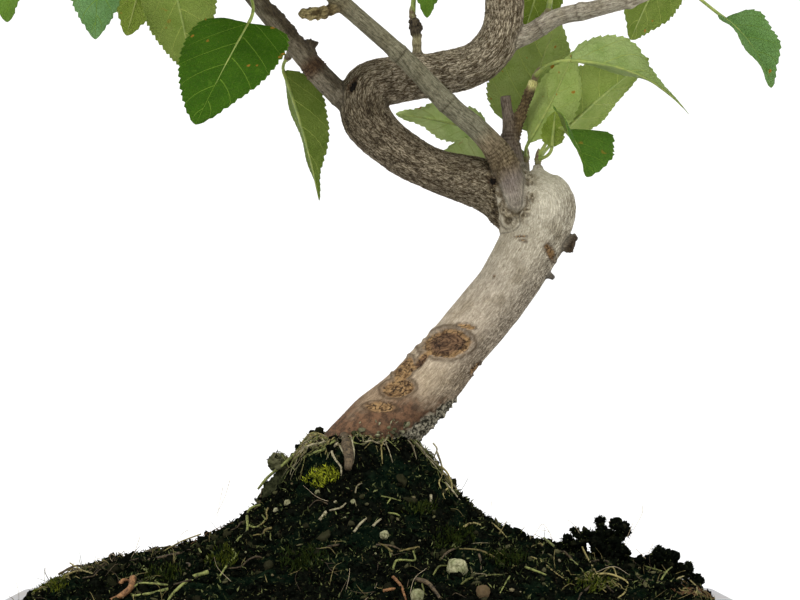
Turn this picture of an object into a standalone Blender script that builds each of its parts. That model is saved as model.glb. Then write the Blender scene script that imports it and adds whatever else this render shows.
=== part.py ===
"""Crabapple bonsai in its pot: an S-shaped trunk on a mound of soil, with serrated leaves on short spurs.

Lengths are millimetres, angles are degrees, and the meshes are written in metres. +Z is up, the front
faces -Y, and the origin is on the ground under the middle of the pot.
"""

import math
import random

import bpy
from mathutils import Quaternion, Vector, noise
from mathutils.bvhtree import BVHTree

MM = 0.001
GAP = 0.3  # clearance between pieces that rest on each other

# Pot: a rounded rectangle that narrows downwards, with a lip and four feet
POT_LENGTH = 250
POT_DEPTH = 190
POT_HEIGHT = 80
POT_CORNER = 14
FOOT_HEIGHT = 9
LIP_HEIGHT = 8
LIP_OVERHANG = 4
WALL = 6
WALL_LEAN = 9  # how much narrower each side is at the bottom than under the lip
FLOOR = 7
BOTTOM_EDGE = 2  # how much the edge under the wall is rounded
WAIST_HEIGHT = 45
WAIST_LEAN = 0.45  # of the wall's lean, still left at the waist's height
FOOT_SIZE = (38, 30)
FOOT_LEAN = 2.5
DRAIN_DIAMETER = 14
DRAIN_SPACING = 110
CORNER_STEPS = 5

# Plastic screens over the drain holes
SCREEN_SIDE = 26
SCREEN_THICKNESS = 1
SCREEN_BAR = 3
SCREEN_CELLS = 2

# Soil: level with the rim at the wall, a low dome, and a steep neck round the trunk's foot
SOIL_BELOW_RIM = 2
DOME_HEIGHT = 21.5
DOME_FLATNESS = 5
OUTLINE_SQUARENESS = 4  # 2 would make the mound's outline an ellipse
NECK_STEEPNESS = 4
NECK_HEIGHT = 34.5
NECK_RADIUS = 31.5
NECK_CENTRE = (-2, 0)
CLUMPS = [(74, -4, 12, 11), (98, -2, 6, 10)]  # x, y, height and radius of crumbly clumps
LUMP_HEIGHT = 2.4
LUMP_SIZE = 13
SOIL_SIDES = 48
SOIL_RINGS = 10

# Wood: each run is a list of (x, y, z, radius) along its centre
FOOT_RUN = [
    (-13, 0, 98, 13.2), (-8, 0, 122, 12.8), (1.2, 0, 136, 12), (16.8, 0.5, 151, 10.7), (29, 1, 165.5, 10),
    (43.8, 1.5, 183.5, 9.8), (53, 1, 199, 10.4), (56, 0, 210, 11.8), (53, 0, 214.5, 10.2),
]
LEADER_RUN = [
    (52, 0, 206, 9.4), (44.5, 1, 214.5, 9.2), (35, 2, 219, 8.3), (22.8, 3, 222.5, 7.3), (10, 4, 229.5, 7.4),
    (-0.6, 5, 240, 8.2), (-0.6, 6, 250.4, 8), (9.5, 7, 253.6, 7.7), (23, 7, 255.5, 7.5), (35.5, 6, 259, 7),
    (42.8, 4, 267, 6.7), (44.5, 3, 278, 6.3), (43, 0, 292, 5.9), (35.5, -4, 305, 5.4), (26, -7, 317, 4.9),
    (21, -8, 332, 4.3), (25, -5, 348, 3.6), (28, -2, 364, 2.9), (25.5, 1, 379, 2.2), (22, 2, 391, 1.5),
]
BRANCHES = {
    "front_branch": [
        (48.5, -5, 212, 5), (43.5, -7, 225, 4.5), (36.3, -8, 234, 3.8), (25, -8, 244, 3.4),
        (9.6, -8, 260, 3), (-9, -11, 276, 2.8), (-22, -16, 288, 2.5), (-34, -20, 303, 2.1),
        (-43, -20, 321, 1.6), (-48, -17, 338, 1.2),
    ],
    "left_branch": [
        (0, 5, 243, 4.4), (-6, 5, 245, 4), (-14.3, 4, 252.5, 3.9), (-21.2, 3, 260.5, 3.6),
        (-28.4, 3, 269, 3.4), (-36.5, 4, 278.5, 3.1), (-47.5, 7, 292, 2.7), (-62, 9, 302, 2.2),
        (-78, 10, 308, 1.8), (-93, 9, 315, 1.2),
    ],
    "right_branch": [
        (45, 4, 265.5, 3.6), (53, 3, 268.5, 3.2), (62, 1, 273.5, 2.9), (72.5, -1, 275.5, 2.8),
        (88, -4, 279.5, 2.5), (104, -6, 286.5, 2.1), (118, -6, 297, 1.7), (127, -4, 309, 1.2),
    ],
    "back_branch": [
        (36, -2, 303, 2.9), (39, 16, 311, 2.6), (45, 40, 317, 2.1), (49, 62, 324, 1.6), (47, 80, 334, 1.2),
    ],
    "back_left_branch": [
        (26, -5, 316, 2.8), (10, 12, 325, 2.5), (-9, 33, 331, 2.1), (-24, 54, 337, 1.6),
        (-32, 70, 346, 1.2),
    ],
    "front_right_branch": [
        (22, -8, 331, 2.6), (30, -25, 337, 2.3), (42, -43, 341, 1.9), (53, -58, 348, 1.5),
        (58, -70, 357, 1.2),
    ],
    "front_left_branch": [
        (34, -5, 307, 2.7), (17, -24, 314, 2.3), (1, -43, 318, 1.9), (-10, -60, 326, 1.5),
        (-14, -73, 336, 1.2),
    ],
    "upper_right_branch": [(25, -5, 347, 2.4), (43, 0, 354, 2.1), (63, 6, 358, 1.7), (80, 8, 366, 1.2)],
    "upper_left_branch": [(28, -3, 361, 2.1), (9, 3, 368, 1.8), (-11, 8, 373, 1.5), (-28, 10, 382, 1.2)],
    "left_front_twig": [(-47, 7, 292, 2), (-52, -10, 300, 1.8), (-61, -30, 307, 1.5), (-68, -48, 317, 1.2)],
    "left_back_twig": [(-61, 9, 302, 1.8), (-66, 28, 309, 1.6), (-74, 48, 316, 1.4), (-78, 64, 326, 1.2)],
    "right_front_twig": [
        (87, -4, 279.5, 1.9), (93, -22, 288, 1.7), (101, -40, 295, 1.4), (105, -55, 305, 1.2),
    ],
    "right_back_twig": [
        (104, -6, 286.5, 1.8), (109, 12, 295, 1.6), (116, 31, 302, 1.4), (118, 47, 312, 1.2),
    ],
}
STUBS = [
    [(50, 2, 214, 3.7), (46.8, 1.5, 229, 3.3), (45.7, 1.5, 239, 2), (44.7, 1.5, 247.5, 1.8)],
    [(-19.5, 3, 259, 2.6), (-18.8, 2.6, 266, 1.9)],
    [(56, 0, 200, 3.6), (67, -2, 198.3, 3)],
    [(-9, -11, 275, 2.2), (-15, -13, 272.5, 1.9), (-21.5, -15, 271.5, 1.6)],
]
TRUNK_SIDES = 14
LEADER_SIDES = 12
BRANCH_SIDES = 6
SPUR_SIDES = 5
SPUR_RADIUS = 1.3
SPUR_LENGTH = (6, 10)
SPRAY_SPACING = 28  # along a branch, between two leafy spurs
SPRAY_START = 0.45  # the inner part of a branch is bare
TIP_CLEARANCE = 0.6  # of the spacing, between a branch's last spur and its end
APEX_POINT = 12  # the leader carries leafy spurs from this point on
SPUR_AHEAD = 0.5  # how far a spur leans towards its branch's tip, and how far it rises
SPUR_RISE = 0.35
SPUR_LEAVES = (1, 2, 2)
END_LEAVES = 4
FULL_ENDS = {"left_branch"}  # its end carries one of the sprays given below
SPIRAL = 137.5  # from one spur or leaf to the next, round its stem
STEM_RADIUS = 1.1

# Leaves
BLADE_THICKNESS = 0.7
TEETH = 4  # a side, on the leaves round the trunk
CROWN_TEETH = 3
TOOTH_DEPTH = 0.1
TOOTH_NOTCH = 0.12  # where in each tooth's stretch its notch and its point lie
TOOTH_POINT = 0.72
TOOTHLESS = 0.02  # of the midrib, at the base and at the tip
OVATE = 0.66  # the less, the nearer the base the blade is widest
BLUNT = 0.68  # the less, the blunter both ends are
CURL = 0.175  # how far the blade's sides bend back
PETIOLE_WIDTH = 0.65  # half of it
PETIOLE_BEND = 0.45
BLADE_LENGTH = (27, 37)
BLADE_SHAPE = (0.68, 0.8)  # width over length
PETIOLE_LENGTH = (9, 16)
STEM_LENGTH = (4, 8)
BUD_PLACES = (0.45, 0.95)  # where along a leafy stem its first and last leaf start
LEAF_SPREAD = (0.5, 1.3)  # how far a petiole leans out from its stem
LEAF_DROOP = (0.05, 0.75)
LEAF_FLATNESS = 0.35  # how much of its petiole's rise a blade keeps
LEAF_TILT = 0.35
LEAF_FACING = 0.4  # how far a blade's upper face turns outwards
LEAF_FOLD = (4, 22)
LEAF_ARCH = (0.02, 0.1)
TRY_TURN = 0.37  # of the spiral, from one try to the next
TRY_SHRINK = 0.035  # of the blade, with each try
CLEARANCE_THICKNESS = 1.7  # of the plain blade that is tried for room
TRIES = 14
CROWN_REACH = (152, 112)  # half the crown's width and depth, round the middle of the pot
SEED = 11

# The trunk's bare zone: no leaf of the crown hangs below this plane, which rises towards the back
BARE_TOP = 282
BARE_SLOPE = 0.18
BARE_LEFT = -126
BARE_RIGHT = 146

# Leafy spurs round the trunk: run of wood to the seat, leafy stem's length, then each leaf's
# base, tip, width, way its upper face looks, fold, arch and, for a lopsided one, skew
LOW_SPRAYS = {
    "knuckle_right": (
        [(54.5, 0, 213, 2), (55.2, -0.5, 224.6, 1.5)], 2.5,
        [((64.6, 4, 236.6), (93.2, 10, 261.3), 28, (-0.45, 0.9, 0.4), 36, 0.03),
         ((59.4, -6, 229.8), (60.3, -9, 241), 8.5, (0, 1, 0), 12, 0.04),
         ((63.5, -9, 235), (69.3, -21, 218.4), 28, (0.57, -0.6, 0.55), 38, 0.08, -0.2)],
    ),
    "knuckle_left": (
        [(51, 4, 213, 1.9), (51.7, 5, 226, 1.3)], 2.5,
        [((49.3, 13, 238.4), (63.8, 20, 276.7), 30, (0, 1, 0.1), 8, 0.03),
         ((52.2, 1, 231.7), (67, -4, 261.5), 20, (0.45, 0.9, -0.1), 24, 0.05)],
    ),
    "knuckle_back": (
        [(47, 5, 213, 2.2), (45, 16, 221, 1.4)], 2.5,
        [((43, 20, 224.5), (24.5, 30, 231.5), 21, (-0.1, 0.8, 0.6), 8, 0.05),
         ((40, 24, 238), (9, 33, 245.5), 17, (0, 0.75, 0.6), 12, 0.04),
         ((46.5, 21, 229.5), (35.5, 44, 240.5), 15, (0, -0.1, 1), 8, 0.04)],
    ),
    "scarred_spur": (
        [(47.3, 1.5, 231, 2.4), (49, 1.5, 239, 2.2), (51, 1.5, 244.5, 2), (54.2, 1, 252.5, 2.3)], 2,
        [((65, -13, 257), (102, -21, 238.5), 22, (0.4, 1, 0.92), 50, 0.2)],
    ),
    "leader_twig": (
        [(15.5, 6, 256, 2.2), (15.8, 5.5, 267, 1.7), (14.6, 5, 273, 1.6)], 2,
        [((17.5, 4, 297), (19, 2, 273.3), 17, (0.2, -0.9, 0.3), 12, 0.08)],
    ),
    "left_low": (
        [(-24.5, 3, 264, 2), (-26.5, 8.5, 262, 1.4)], 2.5,
        [((-28.5, 11.5, 257), (-16.5, 9, 213.5), 22, (0.7, 0.72, 0.1), 42, 0.03)],
    ),
    "left_middle": (
        [(-40, 5, 283, 2), (-44, -3, 284, 1.4)], 3,
        [((-38.5, -20, 267.7), (-54.8, -27, 234.2), 31.5, (0.05, -1, 0.28), 7, 0.05, 0.28),
         ((-66, -6, 291), (-57, -14, 252.5), 27, (0.25, 1, 0.25), 9, 0.05)],
    ),
    "left_outer": (
        [(-80, 10, 309, 1.8), (-84, 1, 309.5, 1.4)], 3,
        [((-85, -13, 297), (-87.5, -19, 262.5), 24, (-0.2, -1, 0.35), 9, 0.06),
         ((-72, -2, 298), (-80, 4, 267.5), 20, (0.15, 1, 0.2), 9, 0.05)],
    ),
    "left_tip": (
        [(-90, 9.2, 313.6, 1.1), (-98, 8.5, 317.5, 1.1)], 4,
        [((-113, 4, 301), (-118.5, -1, 271), 22, (-0.5, -0.8, 0.35), 10, 0.06),
         ((-115, 13, 324), (-151.5, 20, 329), 24, (-0.2, 0.1, 1), 10, 0.06)],
    ),
    "right_fork": (
        [(55, 2.5, 269.5, 1.9), (59, 10, 276, 1.4)], 2.5,
        [((62, 27, 299), (53, 27, 273), 22, (-0.2, 1, 0.3), 10, 0.06)],
    ),
    "right_middle": (
        [(99, -5.5, 284, 1.8), (98, 2.5, 291, 1.4)], 2.5,
        [((103, 13, 298), (87, 9, 267.3), 26, (-0.3, 0.95, 0.35), 10, 0.06)],
    ),
    "right_outer": (
        [(102, -6, 285.5, 1.8), (103, -11, 281.5, 1.3)], 2.5,
        [((115.5, -9, 271.5), (129, -18, 247.5), 22, (0.6, -0.95, 0.36), 34, 0.1)],
    ),
    "right_tip": (
        [(117, -6, 296, 1.6), (123, 0, 298, 1.3)], 3,
        [((131, 7, 306), (151.5, 17, 287), 21, (0.5, 0.1, 0.9), 10, 0.06)],
    ),
    "front_tip": (
        [(53, -58, 348, 1.5), (50, -66, 349, 1.3)], 3,
        [((44, -78, 356), (38, -111.5, 351), 24, (0, -0.2, 1), 10, 0.06)],
    ),
    "back_tip": (
        [(48.5, 66, 326, 1.5), (54, 74, 329, 1.3)], 3,
        [((60, 83, 337), (58, 111.5, 325), 22, (0.1, 0.2, 1), 10, 0.06)],
    ),
}


def clear_scene():
    for item in list(bpy.data.objects):
        bpy.data.objects.remove(item, do_unlink=True)


def principled(name, colour, roughness, metallic=0.0):
    material = bpy.data.materials.new(name)
    material.use_nodes = True
    shader = material.node_tree.nodes["Principled BSDF"]
    shader.inputs["Base Color"].default_value = (*colour, 1)
    shader.inputs["Roughness"].default_value = roughness
    shader.inputs["Metallic"].default_value = metallic
    return material


def mesh_object(name, points, faces, material=None, smooth=False):
    mesh = bpy.data.meshes.new(name)
    mesh.from_pydata([Vector(p) * MM for p in points], [], faces)
    mesh.validate()
    if smooth:
        mesh.shade_smooth()
    if material:
        mesh.materials.append(material)
    item = bpy.data.objects.new(name, mesh)
    bpy.context.scene.collection.objects.link(item)
    return item


def boolean(item, others, operation, solver="EXACT"):
    """Applies one Boolean with a collection of the other objects, then removes them."""
    group = bpy.data.collections.new(item.name + "_others")
    bpy.context.scene.collection.children.link(group)
    for other in others:
        bpy.context.scene.collection.objects.unlink(other)
        group.objects.link(other)
    modifier = item.modifiers.new(operation.lower(), "BOOLEAN")
    modifier.operation = operation
    modifier.operand_type = "COLLECTION"
    modifier.collection = group
    modifier.solver = solver
    graph = bpy.context.evaluated_depsgraph_get()
    joined = bpy.data.meshes.new_from_object(item.evaluated_get(graph))
    item.modifiers.clear()
    item.data = joined
    for other in others:
        bpy.data.objects.remove(other, do_unlink=True)
    bpy.data.collections.remove(group)
    return item


def rounded_rectangle(half_x, half_y, radius, z):
    points = []
    for corner in range(4):
        sign_x = (1, -1, -1, 1)[corner]
        sign_y = (1, 1, -1, -1)[corner]
        for step in range(CORNER_STEPS):
            angle = math.radians(90 * (corner + step / (CORNER_STEPS - 1)))
            x = sign_x * (half_x - radius) + radius * math.cos(angle)
            y = sign_y * (half_y - radius) + radius * math.sin(angle)
            points.append((x, y, z))
    return points


def lofted(rings):
    """Closed solid through rings of equally many points, with both end rings filled."""
    count = len(rings[0])
    points = [point for ring in rings for point in ring]
    faces = [tuple(reversed(range(count)))]
    for row in range(len(rings) - 1):
        for i in range(count):
            j = (i + 1) % count
            low = row * count
            faces.append((low + i, low + j, low + count + j, low + count + i))
    last = (len(rings) - 1) * count
    faces.append(tuple(range(last, last + count)))
    return points, faces


def pot_ring(inset, z):
    radius = max(POT_CORNER - 0.5 * inset, 5)
    return rounded_rectangle(POT_LENGTH / 2 - inset, POT_DEPTH / 2 - inset, radius, z)


def inner_inset(z):
    """How far the pot's inner wall stands in from the rim's outer edge at a height."""
    top = LIP_OVERHANG + WALL
    return top + WALL_LEAN * (POT_HEIGHT - z) / (POT_HEIGHT - FOOT_HEIGHT)


def box(name, size_low, size_high, centre, z_low, z_high):
    rings = []
    for (length, depth), z in ((size_low, z_low), (size_high, z_high)):
        corners = ((1, 1), (-1, 1), (-1, -1), (1, -1))
        rings.append([(centre[0] + u * length / 2, centre[1] + v * depth / 2, z) for u, v in corners])
    points, faces = lofted(rings)
    return mesh_object(name, points, faces)


def build_pot(material):
    floor_top = FOOT_HEIGHT + FLOOR
    lip_bottom = POT_HEIGHT - LIP_HEIGHT
    body = LIP_OVERHANG + WALL_LEAN
    profile = [
        (body + BOTTOM_EDGE, FOOT_HEIGHT), (body, FOOT_HEIGHT + BOTTOM_EDGE),
        (LIP_OVERHANG + WAIST_LEAN * WALL_LEAN, WAIST_HEIGHT),
        (LIP_OVERHANG, lip_bottom - 1), (0.8, lip_bottom + 0.5), (0, lip_bottom + 2), (0, POT_HEIGHT - 1.5),
        (1.2, POT_HEIGHT), (inner_inset(POT_HEIGHT) - 1, POT_HEIGHT),
        (inner_inset(POT_HEIGHT - 1), POT_HEIGHT - 1), (inner_inset(floor_top), floor_top),
    ]
    points, faces = lofted([pot_ring(inset, z) for inset, z in profile])
    pot = mesh_object("pot", points, faces, material)
    feet = []
    reach_x = POT_LENGTH / 2 - body - BOTTOM_EDGE - FOOT_SIZE[0] / 2
    reach_y = POT_DEPTH / 2 - body - BOTTOM_EDGE - FOOT_SIZE[1] / 2
    low = (FOOT_SIZE[0] - 2 * FOOT_LEAN, FOOT_SIZE[1] - 2 * FOOT_LEAN)
    for x in (-reach_x, reach_x):
        for y in (-reach_y, reach_y):
            feet.append(box("foot", low, FOOT_SIZE, (x, y), 0, FOOT_HEIGHT + 1))
    boolean(pot, feet, "UNION")
    drains = []
    for x in (-DRAIN_SPACING / 2, DRAIN_SPACING / 2):
        rings = [ring_of((x, 0, z), Vector((0, 0, 1)), Vector((1, 0, 0)), DRAIN_DIAMETER / 2, 16)
                 for z in (FOOT_HEIGHT - 3, floor_top + 3)]
        points, faces = lofted(rings)
        drains.append(mesh_object("drain", points, faces))
    boolean(pot, drains, "DIFFERENCE")
    pot.data.set_sharp_from_angle(angle=math.radians(35))
    return pot


def ring_of(centre, along, side, radius, sides):
    across = along.cross(side)
    centre = Vector(centre)
    points = []
    for i in range(sides):
        angle = 2 * math.pi * i / sides
        points.append(centre + radius * (math.cos(angle) * side + math.sin(angle) * across))
    return points


def build_screen(name, x, material):
    """Square plate with square openings, lying on the pot's floor over a drain hole."""
    cell = (SCREEN_SIDE - SCREEN_BAR * (SCREEN_CELLS + 1)) / SCREEN_CELLS
    lines = [0]
    for _ in range(SCREEN_CELLS):
        lines += [lines[-1] + SCREEN_BAR, lines[-1] + SCREEN_BAR + cell]
    lines.append(lines[-1] + SCREEN_BAR)
    count = len(lines)
    low = FOOT_HEIGHT + FLOOR + GAP
    points = []
    for z in (low, low + SCREEN_THICKNESS):
        points += [(x + u - SCREEN_SIDE / 2, v - SCREEN_SIDE / 2, z) for v in lines for u in lines]

    def solid(i, j):
        inside = 0 <= i < count - 1 and 0 <= j < count - 1
        return inside and not (i % 2 and j % 2)

    def at(i, j, level):
        return level * count * count + j * count + i

    faces = []
    for i in range(-1, count):
        for j in range(-1, count):
            if solid(i, j):
                faces.append((at(i, j, 1), at(i + 1, j, 1), at(i + 1, j + 1, 1), at(i, j + 1, 1)))
                faces.append((at(i, j, 0), at(i, j + 1, 0), at(i + 1, j + 1, 0), at(i + 1, j, 0)))
            if solid(i, j) and not solid(i, j - 1):
                faces.append((at(i, j, 0), at(i + 1, j, 0), at(i + 1, j, 1), at(i, j, 1)))
            if solid(i, j) and not solid(i, j + 1):
                faces.append((at(i + 1, j + 1, 0), at(i, j + 1, 0), at(i, j + 1, 1), at(i + 1, j + 1, 1)))
            if solid(i, j) and not solid(i - 1, j):
                faces.append((at(i, j + 1, 0), at(i, j, 0), at(i, j, 1), at(i, j + 1, 1)))
            if solid(i, j) and not solid(i + 1, j):
                faces.append((at(i + 1, j, 0), at(i + 1, j + 1, 0), at(i + 1, j + 1, 1), at(i + 1, j, 1)))
    return mesh_object(name, points, faces, material)


def soil_height(x, y):
    half_x = POT_LENGTH / 2 - inner_inset(POT_HEIGHT)
    half_y = POT_DEPTH / 2 - inner_inset(POT_HEIGHT)
    square = (abs(x) / half_x) ** OUTLINE_SQUARENESS + (abs(y) / half_y) ** OUTLINE_SQUARENESS
    out = min(square ** (1 / OUTLINE_SQUARENESS), 1)
    dome = DOME_HEIGHT * (1 - out ** DOME_FLATNESS)
    away = math.hypot(x - NECK_CENTRE[0], y - NECK_CENTRE[1])
    neck = NECK_HEIGHT / (1 + (away / NECK_RADIUS) ** NECK_STEEPNESS)
    clump = 0
    for clump_x, clump_y, clump_height, clump_radius in CLUMPS:
        away = math.hypot(x - clump_x, y - clump_y) / clump_radius
        clump += clump_height * math.exp(-away ** 2)
    place = Vector((x, y, 0)) / LUMP_SIZE
    lumps = LUMP_HEIGHT * (noise.noise(place) + 0.5 * noise.noise(2.3 * place)) * (1 - out ** 8)
    return POT_HEIGHT - SOIL_BELOW_RIM + dome + neck + clump + lumps


def soil_outline(inset, z):
    """The pot's inner wall at a height, drawn in by the gap, at even angles round the trunk's foot."""
    ring = pot_ring(inset + GAP, z)
    points = []
    for i in range(SOIL_SIDES):
        angle = 2 * math.pi * (i + 0.5) / SOIL_SIDES
        way = Vector((math.cos(angle), math.sin(angle)))
        points.append(reach(ring, way))
    return [(p.x, p.y, z) for p in points]


def reach(ring, way):
    """Where a ray from the middle leaves a convex ring."""
    for a, b in zip(ring, ring[1:] + ring[:1]):
        edge = Vector((b[0] - a[0], b[1] - a[1]))
        across = way.x * edge.y - way.y * edge.x
        if abs(across) < 1e-9:
            continue
        far = (a[0] * edge.y - a[1] * edge.x) / across
        along = (a[0] * way.y - a[1] * way.x) / across
        if far > 0 and -1e-9 <= along <= 1 + 1e-9:
            return way * far
    raise ValueError("the ray misses the ring")


def build_soil(material, foot_cutter):
    floor_top = FOOT_HEIGHT + FLOOR
    low = floor_top + GAP
    edge = POT_HEIGHT - SOIL_BELOW_RIM
    outer = soil_outline(inner_inset(edge), edge)
    rings = [soil_outline(inner_inset(low), low), outer]
    for row in range(1, SOIL_RINGS):
        share = 1 - row / SOIL_RINGS
        ring = []
        for x, y, _ in outer:
            px = x * share
            py = y * share
            ring.append((px, py, soil_height(px, py)))
        rings.append(ring)
    points, faces = lofted(rings)
    soil = mesh_object("soil", points, faces, material)
    pockets = [foot_cutter]
    side = SCREEN_SIDE + 2 * GAP
    for x in (-DRAIN_SPACING / 2, DRAIN_SPACING / 2):
        top = low + SCREEN_THICKNESS + GAP
        pockets.append(box("pocket", (side, side), (side, side), (x, 0), low - 2, top))
    return boolean(soil, pockets, "DIFFERENCE")


def smooth_run(points, steps):
    """Catmull-Rom curve through (x, y, z, radius) points, with a number of steps a span."""
    rows = [Vector(p) for p in points]
    rows = [2 * rows[0] - rows[1]] + rows + [2 * rows[-1] - rows[-2]]
    curve = []
    for a, b, c, d in zip(rows, rows[1:], rows[2:], rows[3:]):
        for step in range(steps):
            t = step / steps
            value = 2 * b + (c - a) * t + (2 * a - 5 * b + 4 * c - d) * t * t
            curve.append((value + (3 * b - a - 3 * c + d) * t ** 3) / 2)
    curve.append(rows[-2])
    return [(Vector(p[:3]), p[3]) for p in curve]


def tube(points, sides, steps=3, grow=0.0, round_end=False):
    """Points and faces of a tapered tube whose rings turn as little as they can along its run."""
    run = smooth_run(points, steps)
    if round_end:
        tail = (run[-1][0] - run[-2][0]).normalized()
        end, radius = run[-1]
        run.append((end + tail * 0.45 * radius, radius * 0.78))
        run.append((end + tail * 0.7 * radius, radius * 0.35))
    places = [place for place, _ in run]
    along = (places[1] - places[0]).normalized()
    side = along.orthogonal().normalized()
    rings = []
    for i, (place, radius) in enumerate(run):
        before = places[max(i - 1, 0)]
        after = places[min(i + 1, len(places) - 1)]
        ahead = (after - before).normalized()
        side = along.rotation_difference(ahead) @ side
        along = ahead
        rings.append(ring_of(place, along, side, radius + grow, sides))
    return lofted(rings)


def around(direction, degrees):
    """Unit vector square to a direction, turned round it by an angle."""
    side = direction.orthogonal().normalized()
    return Quaternion(direction, math.radians(degrees)) @ side


def crown_spurs():
    """Where leafy spurs grow on the branches: name, run of wood and number of leaves."""
    draw = random.Random(SEED)
    spurs = []
    runs = dict(BRANCHES)
    runs["apex"] = LEADER_RUN[APEX_POINT:]
    for branch, points in runs.items():
        run = smooth_run(points, 4)
        lengths = [0.0]
        for (a, _), (b, _) in zip(run, run[1:]):
            lengths.append(lengths[-1] + (b - a).length)
        start = lengths[-1] * SPRAY_START
        last = lengths[-1] - TIP_CLEARANCE * SPRAY_SPACING
        turn = draw.uniform(0, 360)
        number = 0
        for i in range(1, len(run) - 1):
            if not start + SPRAY_SPACING * number <= lengths[i] <= last:
                continue
            place, radius = run[i]
            ahead = (run[i + 1][0] - place).normalized()
            number += 1
            turn += SPIRAL
            out = (SPUR_AHEAD * ahead + around(ahead, turn) + Vector((0, 0, SPUR_RISE))).normalized()
            end = place + out * (radius + draw.uniform(*SPUR_LENGTH))
            if out_of_crown([end]):
                continue
            wood = [(*place, SPUR_RADIUS), (*end, SPUR_RADIUS)]
            spurs.append((f"{branch}_{number}", wood, draw.choice(SPUR_LEAVES)))
        if branch in FULL_ENDS:
            continue
        spurs.append((f"{branch}_end", [(*run[-2][0], run[-2][1]), (*run[-1][0], run[-1][1])], END_LEAVES))
    return spurs


def stem_run(wood, length):
    """The green stem that goes on from a spur's end, a gap away."""
    end = Vector(wood[-1][:3])
    out = (end - Vector(wood[-2][:3])).normalized()
    radius = min(wood[-1][3], STEM_RADIUS)
    first = end + out * GAP
    last = end + out * (GAP + length)
    return [(*first, radius), (*last, 0.9 * radius)]


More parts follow.
